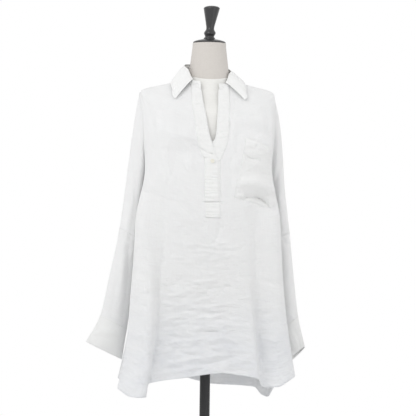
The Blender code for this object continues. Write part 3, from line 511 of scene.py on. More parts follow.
HEM = (
    HemPoint(0, 0.612, 0.614),
    HemPoint(15, 0.610, 0.614),
    HemPoint(28, 0.606, 0.616),
    HemPoint(33, 0.600, 0.617),
    HemPoint(37, 0.588, 0.618),
    HemPoint(41, 0.5865, 0.618),
    HemPoint(46, 0.587, 0.618),
    HemPoint(49.5, 0.6175, 0.618),
    HemPoint(52, 0.6215, 0.617),
    HemPoint(75, 0.636, 0.612),
    HemPoint(90, 0.645, 0.602),
    HemPoint(100, 0.648, 0.594),
    HemPoint(112, 0.640, 0.592),
    HemPoint(120, 0.630, 0.590),
    HemPoint(126, 0.618, 0.588),
    HemPoint(131, 0.609, 0.586),
    HemPoint(137, 0.611, 0.566),
    HemPoint(142, 0.624, 0.562),
    HemPoint(147, 0.634, 0.586),
    HemPoint(153, 0.640, 0.612),
    HemPoint(180, 0.642, 0.630),
)
HEM_SWAY_DROP = 0.600


class Fold(NamedTuple):
    """A hanging fold. turn and spread are degrees round its half of the body, from the right side."""

    face: str
    turn_top: float
    turn_hem: float
    spread: float
    top: float
    full: float
    height: float
    lean: float


FOLDS = (
    Fold("front", 32, 34, 21, 0.27, 0.45, 0.042, 0.000),
    Fold("front", 40, 41, 11, 0.42, 0.74, 0.012, 0.038),
    Fold("front", 62, 63, 12, 0.52, 0.80, -0.014, 0.000),
    Fold("front", 98, 92, 15, 0.62, 0.86, 0.006, -0.004),
    Fold("front", 117, 116, 11, 0.44, 0.84, 0.013, 0.017),
    Fold("front", 131, 130, 9, 0.44, 0.80, -0.017, 0.004),
    Fold("front", 149, 148, 20, 0.26, 0.43, 0.038, 0.000),
    Fold("back", 27, 30, 22, 0.30, 0.60, 0.018, 0.000),
    Fold("back", 58, 55, 13, 0.34, 0.80, -0.014, 0.006),
    Fold("back", 82, 76, 15, 0.30, 0.84, 0.016, 0.008),
    Fold("back", 106, 108, 15, 0.36, 0.82, -0.014, 0.000),
    Fold("back", 130, 134, 13, 0.32, 0.84, 0.015, -0.008),
    Fold("back", 155, 154, 18, 0.30, 0.60, 0.014, 0.000),
)


class Crease(NamedTuple):
    """A crease, as seen from the front: the line it follows from x, z to x, z, how far that line bows
    sideways, its half width, and its height, which is negative for a hollow."""

    x_from: float
    z_from: float
    x_to: float
    z_to: float
    bow: float
    width: float
    height: float


FRONT_CREASES = (
    # hollow left of the V's point, and the ridge above it
    Crease(-0.130, 1.212, -0.055, 1.204, -0.006, 0.0260, -0.0080),
    Crease(-0.120, 1.258, -0.050, 1.244, -0.004, 0.0200, 0.0085),
    Crease(-0.120, 1.168, -0.050, 1.160, 0.004, 0.0400, -0.0050),
    # pull under the right band's foot
    Crease(-0.050, 1.229, -0.004, 1.203, -0.004, 0.0058, -0.0080),
    Crease(-0.064, 1.236, -0.034, 1.196, -0.004, 0.0060, -0.0030),
    Crease(-0.036, 1.198, -0.010, 1.191, -0.003, 0.0040, -0.0040),
    # beside the left band
    Crease(0.060, 1.338, 0.044, 1.270, 0.002, 0.0045, -0.0022),
    Crease(0.053, 1.310, 0.050, 1.235, 0.004, 0.0090, 0.0025),
    # pocket: ridge of its sagging bag and the hollow under it
    Crease(0.086, 1.126, 0.152, 1.108, 0.008, 0.0140, 0.0125),
    Crease(0.088, 1.092, 0.152, 1.064, 0.012, 0.0090, -0.0200),
    Crease(0.085, 1.200, 0.112, 1.190, -0.003, 0.0050, -0.0075),
    Crease(0.075, 1.165, 0.145, 1.150, -0.006, 0.0110, -0.0030),
    # gaps above and below the placket's box
    Crease(-0.021, 1.0795, 0.020, 1.0795, 0.000, 0.0022, -0.0055),
    Crease(-0.021, 1.0385, 0.021, 1.0385, 0.000, 0.0018, -0.0040),
    # below the placket
    Crease(0.018, 1.036, 0.004, 0.978, 0.006, 0.0060, -0.0050),
    Crease(-0.008, 1.030, -0.013, 0.995, -0.003, 0.0060, 0.0018),
    Crease(-0.090, 1.078, -0.050, 1.036, 0.004, 0.0060, -0.0018),
    Crease(-0.060, 1.085, -0.030, 1.050, -0.003, 0.0050, 0.0016),
    Crease(-0.100, 1.010, -0.045, 1.036, 0.003, 0.0055, 0.0018),
    Crease(-0.075, 0.977, 0.055, 0.965, -0.005, 0.0050, 0.0042),
    Crease(-0.045, 0.968, 0.065, 0.957, -0.003, 0.0050, -0.0034),
    Crease(-0.040, 0.951, 0.045, 0.950, 0.003, 0.0040, 0.0014),
    Crease(-0.095, 0.930, -0.030, 0.940, 0.004, 0.0060, 0.0012),
    Crease(0.000, 0.925, 0.060, 0.930, -0.003, 0.0050, -0.0012),
    # upright hollow beside the right fold, and the upper front's long soft rolls
    Crease(-0.124, 0.960, -0.134, 0.720, -0.004, 0.0140, -0.0050),
    Crease(0.098, 1.050, 0.110, 0.930, 0.004, 0.0110, -0.0030),
    Crease(-0.095, 1.335, -0.115, 1.110, -0.008, 0.0200, 0.0026),
    Crease(-0.142, 1.300, -0.150, 1.140, -0.003, 0.0120, -0.0030),
    Crease(0.110, 1.330, 0.130, 1.250, 0.006, 0.0160, 0.0030),
    Crease(0.140, 1.320, 0.142, 1.250, 0.003, 0.0100, -0.0035),
    Crease(0.060, 1.225, 0.050, 1.095, -0.003, 0.0180, -0.0050),
    Crease(0.085, 1.266, 0.160, 1.244, 0.004, 0.0150, -0.0055),
    Crease(0.080, 1.300, 0.155, 1.285, 0.004, 0.0200, 0.0045),
    # armhole lines
    Crease(0.162, 1.338, 0.158, 1.120, 0.004, 0.0060, -0.0060),
    Crease(-0.174, 1.335, -0.168, 1.130, -0.004, 0.0080, -0.0030),
)
LOW_FRONT_CREASES = (
    # the crumpled middle of the skirt, from the waist to the hem
    Crease(-0.070, 0.868, 0.020, 0.880, 0.004, 0.0035, 0.0035),
    Crease(-0.050, 0.858, 0.035, 0.866, -0.003, 0.0032, -0.0040),
    Crease(-0.100, 0.842, -0.020, 0.856, 0.003, 0.0034, 0.0031),
    Crease(-0.095, 0.812, -0.010, 0.832, 0.003, 0.0036, 0.0035),
    Crease(-0.035, 0.815, 0.040, 0.822, -0.003, 0.0034, 0.0035),
    Crease(-0.088, 0.798, -0.030, 0.806, 0.002, 0.0034, -0.0040),
    Crease(-0.020, 0.800, 0.030, 0.802, -0.004, 0.0040, -0.0044),
    Crease(-0.120, 0.776, -0.060, 0.788, 0.003, 0.0038, 0.0040),
    Crease(-0.124, 0.762, -0.070, 0.770, -0.002, 0.0036, -0.0048),
    Crease(-0.060, 0.780, 0.010, 0.790, 0.003, 0.0034, 0.0031),
    Crease(0.020, 0.776, 0.070, 0.768, -0.003, 0.0040, 0.0035),
    Crease(-0.020, 0.751, 0.012, 0.752, 0.000, 0.0030, -0.0092),
    Crease(-0.040, 0.762, 0.030, 0.764, 0.003, 0.0036, 0.0044),
    Crease(-0.112, 0.742, -0.062, 0.738, -0.004, 0.0040, -0.0048),
    Crease(0.010, 0.735, 0.060, 0.728, 0.004, 0.0040, 0.0035),
    Crease(-0.100, 0.722, -0.040, 0.728, 0.003, 0.0038, 0.0035),
    Crease(-0.085, 0.704, -0.030, 0.692, -0.004, 0.0040, -0.0044),
    Crease(-0.012, 0.712, 0.040, 0.700, -0.004, 0.0045, -0.0062),
    Crease(0.000, 0.690, 0.070, 0.704, 0.004, 0.0042, 0.0044),
    Crease(-0.100, 0.670, 0.050, 0.694, 0.005, 0.0045, 0.0053),
    Crease(-0.060, 0.668, 0.030, 0.680, -0.003, 0.0040, -0.0057),
    Crease(-0.120, 0.655, -0.070, 0.660, 0.003, 0.0040, -0.0044),
    Crease(-0.090, 0.650, -0.020, 0.660, 0.003, 0.0040, 0.0040),
    Crease(0.030, 0.668, 0.090, 0.682, -0.004, 0.0045, 0.0044),
    Crease(0.055, 0.655, 0.105, 0.648, 0.003, 0.0040, -0.0040),
    # small marks on the two hanging folds
    Crease(-0.168, 0.700, -0.145, 0.672, 0.003, 0.0050, -0.0044),
    Crease(-0.160, 0.660, -0.150, 0.625, 0.004, 0.0050, 0.0048),
    Crease(-0.185, 0.650, -0.170, 0.612, -0.003, 0.0050, -0.0040),
    Crease(0.130, 0.880, 0.160, 0.872, 0.003, 0.0050, -0.0035),
    Crease(0.128, 0.795, 0.150, 0.800, -0.003, 0.0045, -0.0040),
    Crease(0.135, 0.735, 0.165, 0.725, 0.003, 0.0050, 0.0040),
    Crease(0.150, 0.690, 0.180, 0.700, -0.003, 0.0050, -0.0035),
)
BACK_CREASES = (
    Crease(-0.120, 1.300, 0.000, 1.270, 0.012, 0.0200, -0.0053),
    Crease(0.120, 1.295, 0.010, 1.262, -0.010, 0.0180, -0.0045),
    Crease(-0.050, 1.245, 0.055, 1.240, 0.006, 0.0140, 0.0045),
    Crease(-0.140, 1.235, -0.070, 1.195, 0.006, 0.0100, -0.0053),
    Crease(0.138, 1.232, 0.080, 1.188, -0.005, 0.0110, -0.0048),
    Crease(-0.160, 1.320, -0.166, 1.140, 0.004, 0.0090, -0.0060),
    Crease(0.158, 1.322, 0.158, 1.140, -0.004, 0.0080, -0.0067),
    Crease(-0.085, 1.130, 0.020, 1.112, 0.006, 0.0070, 0.0030),
    Crease(-0.030, 1.085, 0.090, 1.096, -0.005, 0.0080, -0.0033),
    Crease(-0.100, 1.030, -0.020, 1.018, 0.005, 0.0060, 0.0027),
    Crease(0.020, 1.004, 0.110, 1.018, -0.004, 0.0060, 0.0030),
    Crease(-0.070, 0.962, 0.010, 0.972, 0.004, 0.0050, -0.0030),
    Crease(0.040, 0.930, 0.115, 0.918, 0.003, 0.0055, 0.0027),
    Crease(-0.120, 0.890, -0.050, 0.902, -0.004, 0.0050, -0.0027),
    Crease(-0.010, 0.872, 0.070, 0.860, 0.004, 0.0050, 0.0027),
    Crease(-0.090, 0.820, -0.010, 0.806, -0.004, 0.0050, 0.0027),
    Crease(0.030, 0.790, 0.110, 0.806, 0.004, 0.0045, -0.0030),
    Crease(-0.060, 0.742, 0.030, 0.752, 0.003, 0.0045, 0.0027),
    Crease(-0.130, 0.715, -0.060, 0.700, -0.004, 0.0050, -0.0027),
    Crease(0.050, 0.700, 0.120, 0.690, 0.003, 0.0045, 0.0024),
    Crease(-0.030, 0.662, 0.060, 0.650, 0.003, 0.0045, -0.0027),
    Crease(-0.110, 0.640, -0.040, 0.652, -0.003, 0.0045, 0.0024),
)
SLEEVE_CREASES = (
    # right sleeve: long rolls down the arm, and short pulls at the elbow and the cuff
    Crease(-0.205, 1.260, -0.196, 1.080, -0.004, 0.0100, 0.0048),
    Crease(-0.190, 1.200, -0.205, 0.960, 0.006, 0.0090, -0.0056),
    Crease(-0.215, 1.030, -0.222, 0.880, -0.004, 0.0090, 0.0048),
    Crease(-0.232, 0.975, -0.245, 0.800, 0.004, 0.0080, -0.0040),
    Crease(-0.205, 0.950, -0.215, 0.790, 0.004, 0.0080, -0.0048),
    Crease(-0.214, 1.012, -0.190, 0.995, 0.003, 0.0050, 0.0032),
    Crease(-0.225, 0.985, -0.200, 0.968, -0.003, 0.0045, -0.0032),
    Crease(-0.250, 0.780, -0.225, 0.768, 0.003, 0.0045, 0.0029),
    Crease(-0.285, 0.730, -0.250, 0.722, 0.004, 0.0060, -0.0029),
    Crease(-0.262, 0.750, -0.225, 0.735, -0.003, 0.0060, 0.0026),
    # left sleeve
    Crease(0.190, 1.250, 0.184, 1.090, 0.004, 0.0090, 0.0045),
    Crease(0.176, 1.180, 0.182, 1.020, -0.004, 0.0080, -0.0056),
    Crease(0.205, 1.060, 0.214, 0.900, 0.004, 0.0080, 0.0042),
    Crease(0.190, 0.980, 0.205, 0.800, -0.005, 0.0080, -0.0048),
    Crease(0.222, 0.930, 0.236, 0.790, 0.004, 0.0070, -0.0038),
    Crease(0.185, 1.015, 0.212, 1.006, 0.003, 0.0045, 0.0032),
    Crease(0.198, 0.985, 0.216, 0.970, -0.003, 0.0045, -0.0032),
    Crease(0.210, 0.790, 0.232, 0.778, 0.003, 0.0045, 0.0029),
    Crease(0.235, 0.745, 0.250, 0.705, 0.003, 0.0060, -0.0032),
)
# where a crease would reach the form, the cloth rests on it
FORM_CLEAR, FORM_SOFT = 0.0034, 0.0006
CRUMPLES = 760
CRUMPLE_SEED = 7
SHOULDER_ROWS, ARMHOLE_ROWS, SKIRT_ROWS = 28, 76, 132
HALF_FRONT_COLUMNS, BACK_COLUMNS, UPPER_SLEEVE_RINGS = 76, 112, 44
CLOTH_THICK, DOUBLE_THICK = 0.0006, 0.0012
CLOTH_COLOUR, CLOTH_SHADE = (0.880, 0.884, 0.884, 1), (0.845, 0.849, 0.850, 1)
WEAVE_PITCH, CRUMPLE_HEIGHT, LIGHT_REACH = 0.0009, 0.0036, 0.0008
# painted shade: the darker see-through colour mixed into the blouse cloth low on the body
SEE_THROUGH_PAINTED_SHADE = (0.760, 0.770, 0.790, 1)


def crease_height(creases, x, z):
    """How far the creases lift the cloth at x, z. Each is a bell across its bowed line, a little sharper
    than a round one, which dies away past both ends of the line."""
    total = np.zeros_like(x)
    for crease in creases:
        line = np.array([crease.x_to - crease.x_from, crease.z_to - crease.z_from])
        length = np.hypot(*line)
        along = ((x - crease.x_from) * line[0] + (z - crease.z_from) * line[1]) / length
        across = (-(x - crease.x_from) * line[1] + (z - crease.z_from) * line[0]) / length
        share = np.clip(along / length, 0, 1)
        across = across - crease.bow * 4 * share * (1 - share)
        past = np.maximum(np.maximum(-along, along - length), 0)
        fade = 0.35 + 0.65 * np.sin(math.pi * np.clip(share, 0.08, 0.92)) ** 0.5
        bell = np.exp(-np.abs(across / crease.width) ** 1.6 - (past / (1.6 * crease.width)) ** 2)
        total += crease.height * fade * bell
    return total


def crumpled(count, seed):
    """Small creases all over the cloth, as worn linen has: short, mostly level, and closer together
    and deeper in the middle of the skirt. The same seed gives the same creases."""
    draw = np.random.default_rng(seed)
    made = []
    for _ in range(count):
        low = draw.random() < 0.55
        x = draw.normal(-0.02, 0.055) if low else draw.uniform(-0.29, 0.29)
        z = draw.uniform(0.62, 0.98) if low else draw.uniform(0.66, 1.36)
        length = draw.uniform(0.012, 0.050)
        tilt = draw.normal(0.12, 0.35) if low else draw.normal(0.2, 1.1)
        width = draw.uniform(0.0022, 0.0045)
        height = draw.choice([-1, 1]) * draw.uniform(0.0004, 0.0020 if low else 0.0010)
        dx, dz = length / 2 * math.cos(tilt), length / 2 * math.sin(tilt)
        made.append(Crease(x - dx, z - dz, x + dx, z + dz, draw.normal(0, 0.0015), width, height))
    return tuple(made)


FRONT_RELIEF = FRONT_CREASES + LOW_FRONT_CREASES + SLEEVE_CREASES + crumpled(CRUMPLES, CRUMPLE_SEED)
BACK_RELIEF = BACK_CREASES + SLEEVE_CREASES + crumpled(CRUMPLES // 2, CRUMPLE_SEED + 1)
RELIEF = {"front": FRONT_RELIEF, "back": BACK_RELIEF}


def form_reach(x, z):
    """How far forward the form stands at x, z: its ring at that height is half an ellipse with its
    corners pushed out, and the busts stand on it."""
    heights = [ring.front_z for ring in FORM]
    side_x, front_y, corner = (
        smooth_between(heights, [getattr(ring, name) for ring in FORM], np.clip(z, heights[0], heights[-1]))
        for name in ("side_x", "front_y", "corner")
    )
    turn = np.arccos(np.clip(-x / side_x, -1, 1))
    cups = sum(bump((np.degrees(turn) - 90 - way * BUST_TURN) / BUST_SPREAD) for way in (-1, 1))
    busts = BUST_HEIGHT * cups * groove(z - BUST_Z, BUST_TALL)
    return front_y * np.sin(turn) * (1 + corner * np.sin(2 * turn) ** 2) + busts


def body_skin(face, turn, drop, creased=True):
    """Outer face of the body at an angle round its half (0 at the right side, pi at the left) and a
    drop from the neck seam. Each ring is half an ellipse with its corners pushed out, on which the
    hanging folds stand along its normal and lean along its tangent. The creases stand out along Y."""
    turn, drop = np.broadcast_arrays(np.asarray(turn, float), np.asarray(drop, float))
    way = -1.0 if face == "front" else 1.0
    reach = column(BODY, face + "_y", drop)
    middle_z = column(BODY, face + "_z", drop)
    down_arm = (drop - SHOULDER_TIP.drop) / (UNDERARM.drop - SHOULDER_TIP.drop)
    in_armhole = (down_arm >= 0) & (down_arm <= 1)
    level = np.clip(down_arm, 0, 1)
    side_x, side_z, sway = (
        np.where(
            in_armhole,
            getattr(SHOULDER_TIP, name) + (getattr(UNDERARM, name) - getattr(SHOULDER_TIP, name)) * level,
            column(BODY, name, drop),
        )
        for name in ("side_x", "side_z", "sway")
    )
    open_y = ARMHOLE_DEPTH * np.clip(1 - (2 * level - 1) ** 2, 0, 1) ** (ARMHOLE_POINT / 2)
    slit = SLIT_GAP / 2 * ramp(drop, SLIT_DROP, HEM_DROP)

    sine, cosine = np.sin(turn), np.cos(turn)
    full = 1 + column(BODY, "corner", drop) * np.sin(2 * turn) ** 2
    x = -side_x * cosine * full
    y = way * (open_y + (reach - open_y) * sine * full + slit * (1 - sine) ** 4)
    rise = np.abs(sine) ** SHOULDER_ROUNDNESS
    z = side_z + (middle_z - side_z) * rise
    plain_hem = BODY[-1].side_z + (getattr(BODY[-1], face + "_z") - BODY[-1].side_z) * rise
    hem_z = column(HEM, face + "_z", np.degrees(turn))
    z = z + (hem_z - plain_hem) * np.clip((drop - HEM_SWAY_DROP) / (HEM_DROP - HEM_SWAY_DROP), 0, 1) ** 1.5

    out_x, out_y = -cosine / side_x, way * sine / reach
    size = np.hypot(out_x, out_y)
    out_x, out_y = out_x / size, out_y / size
    for fold in FOLDS:
        if fold.face != face:
            continue
        grown = ramp(drop, fold.top, fold.full)
        centre = fold.turn_top + (fold.turn_hem - fold.turn_top) * ramp(drop, fold.top, HEM_DROP)
        shape = grown * bump((np.degrees(turn) - centre) / fold.spread)
        x = x + shape * (fold.height * out_x + way * fold.lean * out_y)
        y = y + shape * (fold.height * out_y - way * fold.lean * out_x)
    x = x + sway
    if creased:
        at_armhole = ramp(2 * np.sqrt(level * (1 - level)), 0.0, 0.3)
        fade = np.maximum(ramp(sine, 0.0, 0.4), at_armhole * in_armhole)
        y = y + way * crease_height(RELIEF[face], x, z) * fade
        if face == "front":
            clear_y = -FORM_SOFT * np.logaddexp(-y / FORM_SOFT, (form_reach(x, z) + FORM_CLEAR) / FORM_SOFT)
            y = y + (clear_y - y) * ramp(sine, 0.55, 0.75) * ramp(-z, -1.330, -1.290)
    return np.stack([x, y, z], axis=-1)


class SleeveRing(NamedTuple):
    """One ring of a sleeve: its outer (overarm) and inner (underarm) points and how far it bulges."""

    along: float
    outer_x: float
    outer_z: float
    inner_x: float
    inner_z: float
    middle_y: float
    front: float
    back: float
    front_lift: float


# along is 0 at the armhole, 1 at the elbow seam, 2 at the cuff's seam and 3 at the cuff's edge. The right
# sleeve's inner_x starts inside the body's side, which is 0.165 out there, so the two cross at the
# underarm from z 1.095 to 1.176.
RIGHT_SLEEVE = (
    SleeveRing(0.15, 0.1890, 1.310, 0.1620, 1.121, 0.000, 0.070, 0.078, 0.000),
    SleeveRing(0.40, 0.2010, 1.220, 0.1650, 1.096, 0.006, 0.064, 0.072, 0.000),
    SleeveRing(0.65, 0.2110, 1.130, 0.1675, 1.062, 0.014, 0.060, 0.066, 0.000),
    SleeveRing(1.00, 0.2270, 1.004, 0.1742, 0.975, 0.018, 0.055, 0.060, 0.000),
    SleeveRing(1.50, 0.2510, 0.885, 0.1880, 0.855, 0.020, 0.047, 0.050, 0.000),
    SleeveRing(2.00, 0.2740, 0.780, 0.2040, 0.746, 0.020, 0.036, 0.042, 0.000),
    SleeveRing(3.00, 0.3100, 0.714, 0.2160, 0.668, 0.014, 0.026, 0.030, 0.002),
)
LEFT_SLEEVE = (
    SleeveRing(0.15, 0.1850, 1.300, 0.1605, 1.121, 0.000, 0.070, 0.080, 0.000),
    SleeveRing(0.40, 0.1965, 1.214, 0.1650, 1.096, 0.013, 0.062, 0.077, 0.000),
    SleeveRing(0.65, 0.2050, 1.125, 0.1670, 1.062, 0.024, 0.056, 0.070, 0.000),
    SleeveRing(1.00, 0.2200, 1.000, 0.1715, 0.972, 0.028, 0.052, 0.062, 0.004),
    SleeveRing(1.50, 0.2345, 0.880, 0.1840, 0.850, 0.032, 0.044, 0.048, 0.004),
    SleeveRing(2.00, 0.2475, 0.780, 0.2010, 0.744, 0.034, 0.038, 0.038, 0.006),
    SleeveRing(3.00, 0.2670, 0.700, 0.2150, 0.655, 0.036, 0.032, 0.036, 0.012),
)


def sleeve_skin(side, face, around, along):
    """Outer face of a sleeve. around is 0 on the overarm line and pi on the underarm line, and each
    ring is half an ellipse between them. Ring 0 is the armhole itself."""
    around, along = np.broadcast_arrays(np.asarray(around, float), np.asarray(along, float))
    table = RIGHT_SLEEVE if side < 0 else LEFT_SLEEVE
    armhole = SleeveRing(
        0.0,
        SHOULDER_TIP.side_x + side * SHOULDER_TIP.sway,
        SHOULDER_TIP.side_z,
        UNDERARM.side_x + side * UNDERARM.sway,
        UNDERARM.side_z,
        0.0,
        ARMHOLE_DEPTH,
        ARMHOLE_DEPTH,
        0.0,
    )
    rings = (armhole, *table)
    outer_x, inner_x = column(rings, "outer_x", along), column(rings, "inner_x", along)
    outer_z, inner_z = column(rings, "outer_z", along), column(rings, "inner_z", along)
    way = -1.0 if face == "front" else 1.0
    sine, cosine = np.sin(around), np.cos(around)
    x = side * ((outer_x + inner_x) / 2 + (outer_x - inner_x) / 2 * cosine)
    pointed = 1 + (ARMHOLE_POINT - 1) * np.clip(1 - along, 0, 1)
    y = column(rings, "middle_y", along) + way * column(rings, face, along) * np.clip(sine, 0, 1) ** pointed
    z = (outer_z + inner_z) / 2 + (outer_z - inner_z) / 2 * cosine
    z = z - way * column(rings, "front_lift", along) * sine
    y = y + way * crease_height(RELIEF[face], x, z) * ramp(sine, 0.0, 0.3)
    return np.stack([x, y, z], axis=-1)


def joined(grids):
    """Several grids, each with its flat places and whether it is seen from its other side, as one mesh.
    Points that share a place become one."""
    points, flats, faces, count = [], [], [], 0
    for grid, flat, turned_over in grids:
        cells = cell_faces(*grid.shape[:2], first=count)
        faces.append(cells[:, ::-1] if turned_over else cells)
        points.append(grid.reshape(-1, 3))
        flats.append(flat.reshape(-1, 2))
        count += grid.shape[0] * grid.shape[1]
    points, flats, faces = np.concatenate(points), np.concatenate(flats), np.concatenate(faces)
    places = np.round(points * 1e6).astype(np.int64)
    _, first, index = np.unique(places, axis=0, return_index=True, return_inverse=True)
    faces = index.reshape(-1)[faces]
    kept = []
    for face in faces.tolist():
        corners = list(dict.fromkeys(face))
        if len(corners) > 2:
            kept.append(corners)
    return points[first], kept, flats[first]


def body_drops():
    """Drops of the body's rows, from the neck seam to the hem, even round the armholes."""
    above = np.linspace(0, SHOULDER_TIP.drop, SHOULDER_ROWS + 1)[:-1]
    round_it = (1 - np.cos(np.linspace(0, math.pi, ARMHOLE_ROWS + 1))) / 2
    armhole = SHOULDER_TIP.drop + (UNDERARM.drop - SHOULDER_TIP.drop) * round_it
    below = np.linspace(UNDERARM.drop, HEM_DROP, SKIRT_ROWS + 1)[1:]
    return np.concatenate([above, armhole, below])


def v_edge(side, drops):
    """Angle at which the front's V opening is cut, row by row. Below the V's point it is the middle."""
    heights = (1.232, 1.252, 1.303, 1.334, 1.410)
    widths = (0.0, 0.0120, 0.0197, 0.0250, 0.0330) if side < 0 else (0.0, 0.0120, 0.0170, 0.0200, 0.0260)
    turn = np.full_like(drops, math.pi / 2)
    for _ in range(3):
        z = body_skin("front", turn, drops, creased=False)[..., 2]
        x = side * np.interp(z, heights, widths)
        turn = np.arccos(-(x - column(BODY, "sway", drops) * (x != 0)) / column(BODY, "side_x", drops))
    return turn


def flat_place(across, down):
    """Places on the flat cloth from how far across and how far down each point is, in metres."""
    return np.stack(np.broadcast_arrays(across, down), axis=-1)


def body_grids(face):
    """A body panel's grids: the front in two halves that part at the V, the back in one, and its two
    halves of the upper sleeves."""
    drops = body_drops()[:, None]
    if face == "front":
        fine = np.linspace(0, 180, 721)
        density = 1 + 1.1 * bump((fine - 44) / 20) + 0.8 * bump((fine - 124) / 20)
        total = np.concatenate([[0], np.cumsum(density[1:] + density[:-1])])
        middle = np.interp(90, fine, total)
        right = np.radians(np.interp(np.linspace(0, middle, HALF_FRONT_COLUMNS + 1), total, fine))
        left = np.radians(np.interp(np.linspace(middle, total[-1], HALF_FRONT_COLUMNS + 1), total, fine))
        turns = [
            right[None] * v_edge(-1, drops) / (math.pi / 2),
            math.pi - (math.pi - left[None]) * (math.pi - v_edge(1, drops)) / (math.pi / 2),
        ]
    else:
        turns = [np.linspace(0, math.pi, BACK_COLUMNS + 1)[None] + 0 * drops]
    made = []
    for turn in turns:
        made.append((body_skin(face, turn, drops), flat_place(turn * 0.19, drops), face == "back"))
    around = np.linspace(0, math.pi, ARMHOLE_ROWS + 1)[None]
    along = np.linspace(0, 1, UPPER_SLEEVE_RINGS + 1)[:, None]
    for side in (-1, 1):
        grid = sleeve_skin(side, face, around, along)
        flat = flat_place(1 + side * 0.3 + around * 0.07, along * 0.22)
        made.append((grid, flat, (side < 0) != (face == "front")))
    return made


def thin_cloth(*weave):
    """Woven cloth that light spreads in. It takes what weave_material takes."""
    finish = weave_material(*weave)
    shader = finish.node_tree.nodes["Principled BSDF"]
    shader.inputs["Subsurface Weight"].default_value = 1.0
    shader.inputs["Subsurface Radius"].default_value = (1.0, 1.0, 1.0)
    shader.inputs["Subsurface Scale"].default_value = LIGHT_REACH
    return finish


cloth_relief = (WEAVE_PITCH, 0.00010, 0.9, 0.2, CRUMPLE_HEIGHT)
gauze = thin_cloth("blouse_cloth", CLOTH_COLOUR, CLOTH_SHADE, 0.88, *cloth_relief, SEE_THROUGH_PAINTED_SHADE)
for face in ("front", "back"):
    points, faces, flat = joined(body_grids(face))
    make_piece(f"blouse_{face}", points, faces, gauze, flat, CLOTH_THICK)
    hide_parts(face)

# Lower sleeves and cuffs: wide tubes of the same cloth, sewn on at the elbow, each with a deep cuff of
# doubled cloth that stands open.

LOWER_SLEEVE_RINGS, CUFF_RINGS, SLEEVE_COLUMNS = 60, 34, 60
SEAM_LAP, SEAM_LIFT = 0.02, 0.0006
DOUBLE_COLOUR, DOUBLE_SHADE = (0.875, 0.878, 0.871, 1), (0.842, 0.845, 0.838, 1)
doubled = thin_cloth(
    "blouse_double_cloth", DOUBLE_COLOUR, DOUBLE_SHADE, 0.85, WEAVE_PITCH, 0.00008, 0.7, 0.2, 0.0024
)


def tube_grids(side, start, end, rings):
    """A stretch of sleeve: its front half and its back half, from one ring to another."""
    around = np.linspace(0, math.pi, SLEEVE_COLUMNS + 1)[None]
    along = np.linspace(start, end, rings + 1)[:, None]
    made = []
    for face in ("front", "back"):
        grid = sleeve_skin(side, face, around, along)
        seam = 1 - ramp(along - start, 0.0, 3 * SEAM_LAP)
        grid[..., 0] += side * SEAM_LIFT * seam * np.cos(around)
        grid[..., 1] += (-1 if face == "front" else 1) * SEAM_LIFT * seam * np.sin(around)
        flat = flat_place(2 + side * 0.3 + around * (0.07 if face == "front" else -0.07), along * 0.22)
        made.append((grid, flat, (side < 0) != (face == "front")))
    return made


sleeves, cuffs = {}, {}
for side, word in ((-1, "right"), (1, "left")):
    points, faces, flat = joined(tube_grids(side, 1 - SEAM_LAP, 2, LOWER_SLEEVE_RINGS))
    sleeves[word] = make_piece(f"lower_sleeve_{word}", points, faces, gauze, flat, CLOTH_THICK)
    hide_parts(f"sleeve_{word}")
    points, faces, flat = joined(tube_grids(side, 2 - SEAM_LAP, 3, CUFF_RINGS))
    cuffs[word] = make_piece(f"open_cuff_{word}", points, faces, doubled, flat, DOUBLE_THICK)
    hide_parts(f"cuff_{word}")

# Front bands: strips of doubled cloth, topstitched down along both edges. The wearer's right band laps
# over the left one below the V's point and ends at the placket's break, and the left one runs on to
# make the boxed end below it.


class BandRow(NamedTuple):
    """One height of the front bands: where the edges of the over band and the under band run."""

    z: float
    over_out: float
    over_in: float
    under_in: float
    under_out: float


BANDS = (
    BandRow(1.000, -0.0210, 0.0150, -0.0180, 0.0190),
    BandRow(1.182, -0.0210, 0.0150, -0.0180, 0.0190),
    BandRow(1.205, -0.0300, 0.0080, -0.0100, 0.0280),
    BandRow(1.228, -0.0380, 0.0000, 0.0000, 0.0370),
    BandRow(1.252, -0.0425, -0.0080, 0.0080, 0.0420),
    BandRow(1.303, -0.0480, -0.0157, 0.0130, 0.0450),
    BandRow(1.334, -0.0520, -0.0210, 0.0160, 0.0465),
    BandRow(1.410, -0.0495, -0.0290, 0.0220, 0.0500),
)
V_POINT_Z, OVER_BAND_END_Z, UNDER_BAND_END_Z = 1.228, 1.0815, 1.0400
BAND_ROWS, BAND_COLUMNS = 230, 26
BAND_START_DROP = 0.001
RIDGE_PITCH, RIDGE_HEIGHT = 0.0088, 0.0008
LEFT_BAND_CREASE = 1.1
EDGE_ROLL = 0.0034
STITCH_INSET = 0.0034


